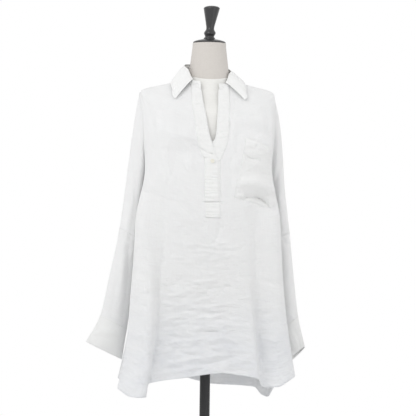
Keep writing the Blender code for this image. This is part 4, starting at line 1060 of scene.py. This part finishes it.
def on_front(x, z):
    """Angle and drop of the front's points at given x, z. The nearest of a set of samples starts it, and
    Newton's method finishes it, no further off than the next sample."""
    turns, drops = np.linspace(0.50, 2.60, 150)[None], np.linspace(0, HEM_DROP, 200)[:, None]
    sample = body_skin("front", turns, drops, creased=False)
    near = (np.abs(sample[..., 0] - (x.min() + x.max()) / 2) < (x.max() - x.min()) / 2 + 0.02) & (
        np.abs(sample[..., 2] - (z.min() + z.max()) / 2) < (z.max() - z.min()) / 2 + 0.02
    )
    away = (sample[near][:, 0] - x.reshape(-1, 1)) ** 2 + (sample[near][:, 2] - z.reshape(-1, 1)) ** 2
    nearest = away.argmin(axis=1)
    first_turn = np.broadcast_to(turns, near.shape)[near][nearest]
    first_drop = np.broadcast_to(drops, near.shape)[near][nearest]
    turn, drop, step = first_turn, first_drop, 1e-5
    for _ in range(6):
        here = body_skin("front", turn, drop, creased=False)
        by_turn = (body_skin("front", turn + step, drop, creased=False) - here) / step
        by_drop = (body_skin("front", turn, drop + step, creased=False) - here) / step
        miss_x, miss_z = x.ravel() - here[:, 0], z.ravel() - here[:, 2]
        det = by_turn[:, 0] * by_drop[:, 2] - by_turn[:, 2] * by_drop[:, 0]
        det = np.where(np.abs(det) < 0.01, -0.01, det)
        turn = turn + (miss_x * by_drop[:, 2] - miss_z * by_drop[:, 0]) / det
        drop = drop + (miss_z * by_turn[:, 0] - miss_x * by_turn[:, 2]) / det
        turn = np.clip(turn, first_turn - 0.015, np.minimum(first_turn + 0.015, 2.61))
        drop = np.clip(drop, first_drop - 0.005, first_drop + 0.005)
    return turn.reshape(x.shape), drop.reshape(x.shape)


def grid_normals(grid):
    """Outward normals of a grid of points, from the cross of its steps down and across."""
    down, right = np.gradient(grid, axis=0), np.gradient(grid, axis=1)
    normals = np.cross(down, right)
    return normals / np.maximum(np.linalg.norm(normals, axis=-1, keepdims=True), 1e-12)


def laid_on_front(x, z, lift):
    """A grid laid on the front at x, z, lifted off it along its normals."""
    turn, drop = on_front(x, z)
    base = body_skin("front", turn, drop)
    return base + grid_normals(base) * lift[..., None]


def rolled_edge(distance, roll=EDGE_ROLL):
    """How much of its lift a doubled piece keeps near an edge, where its cloth is folded under: next to
    none at the edge, then a rounded rise up to all of it."""
    share = np.clip(distance / roll, 0, 1)
    return 0.12 + 0.88 * (1 - (1 - share) ** 2)


def band_grid(out_name, in_name, end_z, lift_above, lift_below, seed):
    """A band: across from its outer to its inner edge, and down from the neck seam to its end."""
    across = np.linspace(0, 1, BAND_COLUMNS + 1)[None]
    down = np.linspace(0, 1, BAND_ROWS + 1)[:, None]
    neck = body_skin("front", np.radians(np.linspace(40, 140, 200)), BAND_START_DROP, creased=False)
    top_z = np.full_like(across, 1.37)
    for _ in range(4):
        out_x, in_x = column(BANDS, out_name, top_z), column(BANDS, in_name, top_z)
        top_z = np.interp(out_x + (in_x - out_x) * across, neck[:, 0], neck[:, 2])
    z = top_z + (end_z - top_z) * down
    out_x, in_x = column(BANDS, out_name, z), column(BANDS, in_name, z)
    x = out_x + (in_x - out_x) * across
    width = np.abs(in_x - out_x)
    from_side = np.minimum(across, 1 - across) * width
    from_end = z - end_z
    draw = np.random.default_rng(seed)
    pucker = np.zeros_like(z)
    for _ in range(90):
        at, size, tall = draw.uniform(end_z, 1.37), draw.uniform(0.0018, 0.0045), draw.uniform(-0.6, 0.6)
        edge = draw.choice([0.1, 0.9, 0.5])
        slanted = z - at - (across - edge) * draw.normal(0, 0.012)
        pucker += tall * groove(slanted, size) * groove(across - edge, 0.3)
    pucker = pucker * (1 + 1.2 * groove(z - 1.190, 0.030))
    creased = LEFT_BAND_CREASE if out_name == "under_in" else 0
    for crease_z in (1.254, 1.237):
        pucker -= creased * groove(z - crease_z - 0.006 * across, 0.0022)
    lower = ramp(-z, -1.165, -1.140)
    ridges = np.sin(2 * math.pi * z / RIDGE_PITCH + 1.4 * np.sin(z * 210))
    ridges = ridges * (1 - 0.5 * groove(across - 0.9, 0.3))
    lift = lift_above + (lift_below - lift_above) * ramp(-z, -V_POINT_Z - 0.030, -V_POINT_Z - 0.006)
    lift = lift * rolled_edge(from_side) * np.where(from_end < EDGE_ROLL, rolled_edge(from_end), 1)
    lift = lift - 0.0004 * groove(from_side - STITCH_INSET, 0.0009) + 0.0010 * pucker
    lift = lift + RIDGE_HEIGHT * lower * ridges
    return laid_on_front(x, z, np.maximum(lift, 0.0004)), flat_place(3 + x, z)


bands, band_grids = {}, {}
for name, node, edges, end_z, lifts, seed in (
    ("band_left", "band_under", ("under_in", "under_out"), UNDER_BAND_END_Z, (0.0020, 0.0020), 11),
    ("band_right", "band_over", ("over_out", "over_in"), OVER_BAND_END_Z, (0.0020, 0.0038), 12),
):
    grid, flat = band_grid(*edges, end_z, *lifts, seed)
    band_grids[name] = grid
    bands[name] = make_piece(name, grid, cell_faces(*grid.shape[:2]), doubled, flat, DOUBLE_THICK)
    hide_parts(node)

# Pocket: a patch of the same cloth on the wearer's left chest, its mouth turned over and hemmed, sewn
# down on three sides. It sags, so its foot folds over into a dark hollow.

POCKET_TOP = ((0.084, 1.243), (0.106, 1.236), (0.128, 1.227), (0.148, 1.219))
POCKET_BOTTOM = ((0.054, 1.092), (0.100, 1.080), (0.150, 1.067), (0.171, 1.079))
POCKET_LEFT = ((0.084, 1.243), (0.075, 1.195), (0.064, 1.140), (0.054, 1.092))
POCKET_RIGHT = ((0.148, 1.219), (0.157, 1.160), (0.164, 1.118), (0.171, 1.079))
POCKET_ROWS, POCKET_COLUMNS = 96, 66
POCKET_MOUTH_GAP, POCKET_MOUTH_DEPTH = 0.0045, 0.045
# rough width and length, which only place the pocket's rolled edges, its mouth and its hem
POCKET_WIDE, POCKET_LONG = 0.085, 0.150
POCKET_CREASES = (
    Crease(0.120, 1.228, 0.140, 1.214, 0.002, 0.0045, -0.0040),
    Crease(0.088, 1.232, 0.118, 1.222, 0.002, 0.0050, 0.0020),
    Crease(0.080, 1.196, 0.100, 1.186, -0.002, 0.0040, -0.0040),
    Crease(0.098, 1.188, 0.140, 1.176, -0.003, 0.0070, -0.0020),
    Crease(0.085, 1.206, 0.130, 1.196, 0.003, 0.0060, 0.0020),
    Crease(0.110, 1.160, 0.158, 1.136, 0.004, 0.0100, -0.0030),
    Crease(0.066, 1.126, 0.140, 1.118, 0.010, 0.0130, 0.0080),
    Crease(0.060, 1.098, 0.084, 1.088, 0.003, 0.0060, 0.0040),
)


def edge_curve(corners, share):
    """A smooth line through a pocket edge's corners, by the share of the way along it."""
    corners = np.array(corners)
    places = np.concatenate([[0], np.cumsum(np.hypot(*np.diff(corners, axis=0).T))])
    return np.stack([smooth_between(places / places[-1], corners[:, k], share) for k in (0, 1)], axis=-1)


across, down = np.linspace(0, 1, POCKET_COLUMNS + 1), np.linspace(0, 1, POCKET_ROWS + 1)
top_edge, bottom_edge = edge_curve(POCKET_TOP, across)[None], edge_curve(POCKET_BOTTOM, across)[None]
left_edge, right_edge = edge_curve(POCKET_LEFT, down)[:, None], edge_curve(POCKET_RIGHT, down)[:, None]
s, t = across[None, :, None], down[:, None, None]
corners = (
    (1 - s) * (1 - t) * top_edge[:, :1]
    + s * (1 - t) * top_edge[:, -1:]
    + (1 - s) * t * bottom_edge[:, :1]
    + s * t * bottom_edge[:, -1:]
)
patch = (1 - t) * top_edge + t * bottom_edge + (1 - s) * left_edge + s * right_edge - corners
x, z = patch[..., 0], patch[..., 1]
from_side = np.minimum(across, 1 - across)[None] * POCKET_WIDE
from_foot = (1 - down)[:, None] * POCKET_LONG
lift = 0.0018 * rolled_edge(np.minimum(from_side, from_foot + 0 * from_side))
mouth = np.clip(1 - down / (POCKET_MOUTH_DEPTH / POCKET_LONG), 0, 1)[:, None] ** 2
lift = lift + POCKET_MOUTH_GAP * mouth * np.sin(math.pi * across)[None]
inside = ramp(np.minimum(from_side, from_foot + 0 * from_side), 0.0, 0.012)
lift = lift + crease_height(POCKET_CREASES, x, z) * inside
lift = lift - 0.0004 * groove(down[:, None] * POCKET_LONG - 0.018, 0.0008)
pocket_grid = laid_on_front(x, z, np.maximum(lift, 0.0005))
faces = cell_faces(*pocket_grid.shape[:2])
pocket = make_piece("chest_pocket", pocket_grid, faces, doubled, flat_place(4 + x, z), CLOTH_THICK)
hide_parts("pocket")

# Collar: a stand of doubled cloth sewn to the neck seam, and the leaf sewn to its top, which turns over
# and spreads into two points on the chest. Its edges are topstitched.

STAND_END, LEAF_END = math.radians(158), math.radians(136)
STAND_ROWS, LEAF_ROWS, COLLAR_COLUMNS = 14, 40, 190
COLLAR_TILT, COLLAR_SWAY = 0.085, -0.0035
# rough depth and radius of the leaf, and how far in from its edges it is topstitched
LEAF_DEEP, LEAF_RADIUS, LEAF_STITCH_INSET = 0.05, 0.075, 0.005


class CollarPlace(NamedTuple):
    """One place round the collar, by its angle from centre back."""

    angle: float
    stand_top_z: float
    stand_top_x: float
    leaf_turn: float
    leaf_drop: float
    leaf_lift: float


COLLAR = (
    CollarPlace(0, 1.4350, 0.0590, 90, 0.029, 0.0032),
    CollarPlace(60, 1.4300, 0.0605, 30, 0.030, 0.0032),
    CollarPlace(90, 1.4222, 0.0602, 0, 0.030, 0.0032),
    CollarPlace(115, 1.4135, 0.0590, 37, 0.050, 0.0045),
    CollarPlace(136, 1.3890, 0.0600, 55, 0.073, 0.0095),
    CollarPlace(158, 1.3870, 0.0620, 66, 0.073, 0.0095),
)


def neck_seam(angle):
    """The body's neck edge, by its angle from centre back, positive towards the left."""
    back = np.cos(angle) >= 0
    turn = np.where(back, angle + math.pi / 2, np.sign(angle) * (math.pi - np.abs(angle)) + math.pi / 2)
    on_back = body_skin("back", np.clip(turn, 0, math.pi), 0.0, creased=False)
    ahead = body_skin("front", np.clip(turn, 0, math.pi), 0.0, creased=False)
    return np.where(back[..., None], on_back, ahead)


def stand_top(angle):
    """Top edge of the collar's stand, where the leaf turns over."""
    away = np.degrees(np.abs(angle))
    x = column(COLLAR, "stand_top_x", away) * np.sin(angle) + COLLAR_SWAY
    y = np.cos(angle) * np.where(np.cos(angle) > 0, 0.056, 0.060)
    return np.stack([x, y, column(COLLAR, "stand_top_z", away) - COLLAR_TILT * x], axis=-1)


def leaf_edge(angle):
    """Outer edge of the collar's leaf: a line on the shoulders, raised clear of the body."""
    away = np.degrees(np.abs(angle))
    around = np.radians(column(COLLAR, "leaf_turn", away))
    turn = np.where(angle < 0, around, math.pi - around)
    drop = column(COLLAR, "leaf_drop", away)
    on_back = body_skin("back", turn, drop, creased=False)
    ahead = body_skin("front", turn, drop, creased=False)
    lift = column(COLLAR, "leaf_lift", away) + 0.0020
    outwards = np.stack([np.sin(angle) * 0.35, np.cos(angle) * 0.35, np.full_like(angle, 0.94)], axis=-1)
    return np.where((away <= 90)[:, None], on_back, ahead) + outwards * lift[:, None]


angle = np.linspace(-STAND_END, STAND_END, COLLAR_COLUMNS + 1)
outwards = np.stack([np.sin(angle), np.cos(angle), np.zeros_like(angle)], axis=-1)
rise = np.linspace(0, 1, STAND_ROWS + 1)[::-1, None, None]
stand_grid = neck_seam(angle)[None] * (1 - rise) + stand_top(angle)[None] * rise + outwards[None] * 0.0007
lap = (1 - rise) ** 2 * ramp(np.abs(angle), math.radians(110), math.radians(140))[None, :, None]
stand_grid = stand_grid + lap * (outwards[None] * 0.0034 - np.array([0, 0, 0.0030]))
flat = flat_place(5 + angle[None] * 0.06, rise[..., 0] * 0.03)
collar_stand = make_piece(
    "collar_stand_band", stand_grid, cell_faces(*stand_grid.shape[:2])[:, ::-1], doubled, flat, DOUBLE_THICK
)
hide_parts("collar_stand")

angle = np.linspace(-LEAF_END, LEAF_END, COLLAR_COLUMNS + 1)
outwards = np.stack([np.sin(angle), np.cos(angle), np.zeros_like(angle)], axis=-1)
share = np.linspace(0, 1, LEAF_ROWS + 1)[:, None, None] ** 1.5
leaf_grid = stand_top(angle)[None] * (1 - share) + leaf_edge(angle)[None] * share
leaf_grid[..., 2] += 0.0038 * (1 - share[..., 0]) + 0.0016 * np.sin(math.pi * share[..., 0] ** 0.6)
leaf_grid += outwards[None] * 0.0018 * np.sin(math.pi * share**0.6)
from_edge = (1 - share[..., 0]) * LEAF_DEEP
from_end = (LEAF_END - np.abs(angle))[None] * LEAF_RADIUS
edge_near = np.minimum(from_edge, from_end)
waves = 0.0006 * np.sin(angle * 23)[None] * share[..., 0] ** 2
waves = waves + 0.0004 * np.sin(angle * 41 + 1)[None] * share[..., 0]
leaf_lift = waves - 0.0005 * groove(edge_near - LEAF_STITCH_INSET, 0.0009)
leaf_lift = leaf_lift - 0.0008 * (1 - rolled_edge(edge_near, 0.002))
leaf_grid = leaf_grid - grid_normals(leaf_grid) * leaf_lift[..., None]
flat = flat_place(6 + angle[None] * 0.08, share[..., 0] * 0.06)
collar_leaf = make_piece(
    "collar_turned_leaf", leaf_grid, cell_faces(*leaf_grid.shape[:2])[:, ::-1], doubled, flat, DOUBLE_THICK
)
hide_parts("collar_leaf")

# Button: pale shell, 10 mm across, with four holes, on the right band. It stays fastened.

BUTTON_X, BUTTON_Z, BUTTON_RADIUS, BUTTON_THICK = -0.0025, 1.1825, 0.0050, 0.0022
BUTTON_SEAT = 0.0052
HOLE_RADIUS, HOLE_OFFSET = 0.00055, 0.00105
BUTTON_RINGS, BUTTON_STEPS = 54, 96

near_x = BUTTON_X + np.linspace(-0.004, 0.004, 5)[None]
near_z = BUTTON_Z + np.linspace(0.004, -0.004, 5)[:, None]
patch = body_skin("front", *on_front(near_x + 0 * near_z, near_z + 0 * near_x), creased=False)
button_out = grid_normals(patch)[2, 2]
button_right = np.cross((0, 0, 1), button_out) * -1
button_right = button_right / np.linalg.norm(button_right)
button_up = np.cross(button_right, button_out) * -1
button_base = patch[2, 2] + button_out * BUTTON_SEAT


def mottled(name, colour, roughness, tones, **noise):
    """A finish whose colour wanders between two tones with a noise, and its shader."""
    finish, shader, add, join = node_kit(name, colour, roughness)
    place = add("ShaderNodeTexCoord").outputs["Object"]
    cloud = add("ShaderNodeTexNoise", **noise)
    join(place, cloud.inputs["Vector"])
    tint = add("ShaderNodeMix", data_type="RGBA")
    tint.inputs["A"].default_value, tint.inputs["B"].default_value = tones
    join(cloud.outputs["Fac"], tint.inputs["Factor"])
    join(tint.outputs["Result"], shader.inputs["Base Color"])
    return finish, shader


def button_place(right, up, out):
    """A point of the button from how far right, up and out of its seat it is."""
    axes = np.stack([button_right, button_up, button_out])
    return button_base + np.stack(np.broadcast_arrays(right, up, out), axis=-1) @ axes


angle = np.linspace(0, 2 * math.pi, BUTTON_STEPS, endpoint=False)[None]
radius = np.linspace(0.02, 1, BUTTON_RINGS)[:, None] * BUTTON_RADIUS * 0.93
right, up = radius * np.cos(angle), radius * np.sin(angle)
top_out = BUTTON_THICK * (0.70 + 0.30 * ramp(radius, 0.58 * BUTTON_RADIUS, 0.78 * BUTTON_RADIUS))
top_out = top_out + 0 * angle
for hole_right in (-HOLE_OFFSET, HOLE_OFFSET):
    for hole_up in (-HOLE_OFFSET, HOLE_OFFSET):
        from_hole = np.hypot(right - hole_right, up - hole_up)
        top_out = top_out - 0.55 * BUTTON_THICK * (1 - ramp(from_hole, 0.75 * HOLE_RADIUS, 1.1 * HOLE_RADIUS))
face_grid = button_place(right, up, top_out)
rim = ((0.97, 0.94), (1.00, 0.78), (1.00, 0.42), (0.97, 0.18), (0.88, 0.03), (0.60, 0.0), (0.05, 0.0))
rim_right, rim_up = BUTTON_RADIUS * np.cos(angle[0]), BUTTON_RADIUS * np.sin(angle[0])
rim_grid = np.stack([button_place(r * rim_right, r * rim_up, h * BUTTON_THICK) for r, h in rim])
grid = np.concatenate([face_grid, rim_grid])
points = np.concatenate([grid.reshape(-1, 3), grid[:1].mean(axis=1), grid[-1:].mean(axis=1)])
shell, shader = mottled(
    "shell_button",
    (0.84, 0.82, 0.74, 1),
    0.28,
    ((0.76, 0.73, 0.62, 1), (0.90, 0.89, 0.83, 1)),
    Scale=420.0,
    Detail=3.0,
    Roughness=0.6,
    Distortion=1.5,
)
shader.inputs["Coat Weight"].default_value = 0.4
button = make_piece("band_button", points, closed_round(grid.shape[0], BUTTON_STEPS), shell)
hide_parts("button")

# Sewing: rows of small white lockstitches along the bands, the pocket, the collar, the cuffs and the
# hem, and a buttonhole's loop at the end of the collar's stand. The button's own threads aren't built.

STITCH_LENGTH, STITCH_PITCH, THREAD_RADIUS = 0.0023, 0.0030, 0.00022
STITCH_SIDES = 5
BUTTONHOLE_PITCH = 0.0007
BOX_SHARE = 0.033 / 0.330
THREAD_COLOUR = (0.86, 0.865, 0.87, 1)
THREAD_TONES = ((0.80, 0.81, 0.82, 1), THREAD_COLOUR)
thread, _ = mottled("sewing_thread", THREAD_COLOUR, 0.7, THREAD_TONES, Scale=2500.0, Detail=1.0)


def on_grid(grid, row, col):
    """Points of a grid at fractional rows and columns, by mixing the four round each."""
    row, col = np.broadcast_arrays(np.asarray(row, float), np.asarray(col, float))
    row, col = np.clip(row, 0, grid.shape[0] - 1.001), np.clip(col, 0, grid.shape[1] - 1.001)
    r, c = row.astype(int), col.astype(int)
    u, v = (row - r)[..., None], (col - c)[..., None]
    here = grid[r, c] * (1 - u) + grid[r + 1, c] * u
    beyond = grid[r, c + 1] * (1 - u) + grid[r + 1, c + 1] * u
    return here * (1 - v) + beyond * v


def stitch_row(grid, row, col, turned_over=False, pitch=STITCH_PITCH):
    """One row of stitches along a line on a grid. Each is a short spindle, thinner at its ends, that
    lies along the line. Gives points and faces."""
    path = on_grid(grid, row, col)
    normal = on_grid(grid_normals(grid), row, col) * (-1 if turned_over else 1)
    way = np.concatenate([[0], np.cumsum(np.linalg.norm(np.diff(path, axis=0), axis=1))])
    middles = np.arange(pitch / 2, way[-1], pitch)
    at = np.stack([np.interp(middles, way, path[:, k]) for k in range(3)], axis=-1)
    out = np.stack([np.interp(middles, way, normal[:, k]) for k in range(3)], axis=-1)
    ahead = np.stack([np.interp(middles + 0.0005, way, path[:, k]) for k in range(3)], axis=-1) - at
    ahead = ahead / np.maximum(np.linalg.norm(ahead, axis=1, keepdims=True), 1e-9)
    beside = np.cross(ahead, out)
    angle = np.linspace(0, 2 * math.pi, STITCH_SIDES, endpoint=False)
    rings = []
    spindle = ((-0.5, 0.25, -0.6), (-0.3, 0.9, 0.5), (0.0, 1.0, 0.8), (0.3, 0.9, 0.5), (0.5, 0.25, -0.6))
    round_it = out[:, None] * np.cos(angle)[:, None] + beside[:, None] * np.sin(angle)[:, None]
    for place, size, lift in spindle:
        centre = at + ahead * STITCH_LENGTH * place + out * THREAD_RADIUS * lift
        rings.append(centre[:, None] + THREAD_RADIUS * size * round_it)
    points = np.stack(rings, axis=1)
    many, count, sides = points.shape[:3]
    one = cell_faces(count, sides, round_it=True)
    faces = (one[None] + (np.arange(many) * count * sides)[:, None, None]).reshape(-1, 4)
    return points.reshape(-1, 3), faces


def sewing(name, rows):
    """Many rows of stitches as one piece."""
    points, faces, count = [], [], 0
    for one_points, one_faces in rows:
        points.append(one_points)
        faces.append(one_faces + count)
        count += len(one_points)
    return make_piece(name, np.concatenate(points), np.concatenate(faces), thread)


down = np.linspace(0, 1, 200)
rows = []
for grid in (band_grids["band_left"], band_grids["band_right"]):
    last_row, last_column = grid.shape[0] - 1, grid.shape[1] - 1
    for col in (0.09, 0.91):
        rows.append(stitch_row(grid, 2 + (last_row - 4) * down, last_column * col))
    rows.append(stitch_row(grid, last_row - 2.4, last_column * (0.08 + 0.84 * down)))
grid = band_grids["band_left"]
last_row, last_column = grid.shape[0] - 1, grid.shape[1] - 1
box_top = last_row * (1 - BOX_SHARE)
for row in (box_top, (box_top + last_row) / 2):
    rows.append(stitch_row(grid, row, last_column * (0.08 + 0.84 * down)))
stitches = {"bands": sewing("band_stitching", rows)}

last_row, last_column = POCKET_ROWS, POCKET_COLUMNS
rows = [
    stitch_row(pocket_grid, 1 + (last_row - 2) * down, last_column * 0.035),
    stitch_row(pocket_grid, 1 + (last_row - 2) * down, last_column * 0.965),
    stitch_row(pocket_grid, last_row * 0.982, last_column * (0.035 + 0.93 * down)),
    stitch_row(pocket_grid, last_row * 0.12, last_column * (0.035 + 0.93 * down)),
]
stitches["pocket"] = sewing("pocket_stitching", rows)

last_row, last_column = LEAF_ROWS, COLLAR_COLUMNS
edge_row = last_row * (1 - LEAF_STITCH_INSET / LEAF_DEEP) ** (1 / 1.5)
end_column = last_column * LEAF_STITCH_INSET / LEAF_RADIUS / (2 * LEAF_END)
rows = [
    stitch_row(leaf_grid, edge_row, end_column + (last_column - 2 * end_column) * down, True),
    stitch_row(leaf_grid, 4 + (edge_row - 4) * down, end_column, True),
    stitch_row(leaf_grid, 4 + (edge_row - 4) * down, last_column - end_column, True),
]
loop = np.linspace(0, 2 * math.pi, 60)
hole_row, hole_column = 6.5 + 0.75 * np.sin(loop), 5.2 + 2.6 * np.cos(loop)
rows.append(stitch_row(stand_grid, hole_row, hole_column, True, BUTTONHOLE_PITCH))
stitches["collar"] = sewing("collar_stitching", rows)

rows = []
around = np.linspace(0.02, math.pi - 0.02, 90)[None]
for side in (-1, 1):
    for face in ("front", "back"):
        grid = sleeve_skin(side, face, around, np.linspace(1.95, 3.0, 80)[:, None])
        turned_over = (side < 0) != (face == "front")
        for along in (2.05, 2.12, 2.93):
            rows.append(stitch_row(grid, (along - 1.95) / 1.05 * 79, 89 * down, turned_over))
        grid = sleeve_skin(side, face, around, np.linspace(0.98, 1.1, 20)[:, None])
        rows.append(stitch_row(grid, 19 * 0.4, 89 * down, turned_over))
stitches["cuffs"] = sewing("cuff_and_elbow_stitching", rows)

rows = []
for face in ("front", "back"):
    turn = np.linspace(0.02, math.pi - 0.02, 260)[None]
    grid = body_skin(face, turn, np.linspace(HEM_DROP - 0.03, HEM_DROP, 16)[:, None])
    rows.append(stitch_row(grid, 15 * (1 - 0.008 / 0.03), 259 * np.linspace(0, 1, 500), face == "back"))
stitches["hem"] = sewing("hem_stitching", rows)

# Flat size of each piece of cloth. Those of the front, back, lower sleeves and cuffs are estimates.

# Floor, light and camera: a plain pale floor, soft studio light from above and the left, and a long
# lens level with the chest, a little to the right of straight on.

FLOOR_HALF, FLOOR_Z = 3.0, -0.0005
CAMERA_AWAY, CAMERA_TURN, CAMERA_ROLL = 5.0, math.radians(-6.0), math.radians(0.75)
VIEW_MIDDLE_Z, VIEW_WIDTH, PICTURE_WIDTH, AXIS_AT = 1.064, 1.0816, 416, 207.2

FLOOR_TONES = ((0.85, 0.85, 0.85, 1), (0.88, 0.88, 0.88, 1))
floor_material, _ = mottled("pale_floor", (0.86, 0.86, 0.86, 1), 0.8, FLOOR_TONES, Scale=3.0, Detail=2.0)
mesh = bpy.data.meshes.new("floor")
corners = [(x * FLOOR_HALF, y * FLOOR_HALF, FLOOR_Z) for x, y in ((-1, -1), (1, -1), (1, 1), (-1, 1))]
mesh.from_pydata(corners, [], [(0, 1, 2, 3)])
mesh.materials.append(floor_material)
floor = bpy.data.objects.new("floor", mesh)
bpy.context.scene.collection.objects.link(floor)

world = bpy.data.worlds.new("studio")
bpy.context.scene.world = world
world.use_nodes = True
tree = world.node_tree
ambient = tree.nodes["Background"]
ambient.inputs["Color"].default_value = (1, 1, 1, 1)
ambient.inputs["Strength"].default_value = 0.84
seen = tree.nodes.new("ShaderNodeBackground")
seen.inputs["Color"].default_value = (1, 1, 1, 1)
seen.inputs["Strength"].default_value = 1.0
rays = tree.nodes.new("ShaderNodeLightPath")
mixed = tree.nodes.new("ShaderNodeMixShader")
tree.links.new(rays.outputs["Is Camera Ray"], mixed.inputs["Fac"])
tree.links.new(ambient.outputs[0], mixed.inputs[1])
tree.links.new(seen.outputs[0], mixed.inputs[2])
tree.links.new(mixed.outputs[0], tree.nodes["World Output"].inputs["Surface"])


def soft_light(name, place, aim, size, power):
    """A square area light at a place, turned towards a point."""
    light = bpy.data.lights.new(name, "AREA")
    light.size, light.energy = size, power
    lamp = bpy.data.objects.new(name, light)
    away = np.array(place) - np.array(aim)
    lamp.location = place
    lamp.rotation_euler = (
        math.atan2(math.hypot(away[0], away[1]), away[2]),
        0,
        math.atan2(away[0], -away[1]),
    )
    bpy.context.scene.collection.objects.link(lamp)


soft_light("key", (-2.0, -2.6, 3.0), (0, 0, 1.1), 2.4, 34)
soft_light("fill", (2.4, -3.0, 1.4), (0, 0, 1.0), 2.4, 10)

forward = np.array([-math.sin(CAMERA_TURN), math.cos(CAMERA_TURN), 0.0])
right = np.array([math.cos(CAMERA_TURN), math.sin(CAMERA_TURN), 0.0])
up = np.array([0.0, 0.0, 1.0])
rolled_right = right * math.cos(CAMERA_ROLL) + up * math.sin(CAMERA_ROLL)
rolled_up = up * math.cos(CAMERA_ROLL) - right * math.sin(CAMERA_ROLL)
lens = bpy.data.cameras.new("camera")
lens.lens = lens.sensor_width * CAMERA_AWAY / VIEW_WIDTH
lens.shift_x = (PICTURE_WIDTH / 2 - AXIS_AT) / PICTURE_WIDTH
camera = bpy.data.objects.new("camera", lens)
spot = np.array([0.0, 0.0, VIEW_MIDDLE_Z]) - forward * CAMERA_AWAY
placed = np.stack([rolled_right, rolled_up, -forward, spot], axis=1).tolist()
camera.matrix_world = Matrix(placed + [[0, 0, 0, 1]])
bpy.context.scene.collection.objects.link(camera)
bpy.context.scene.camera = camera
bpy.context.scene.view_settings.view_transform = "Standard"
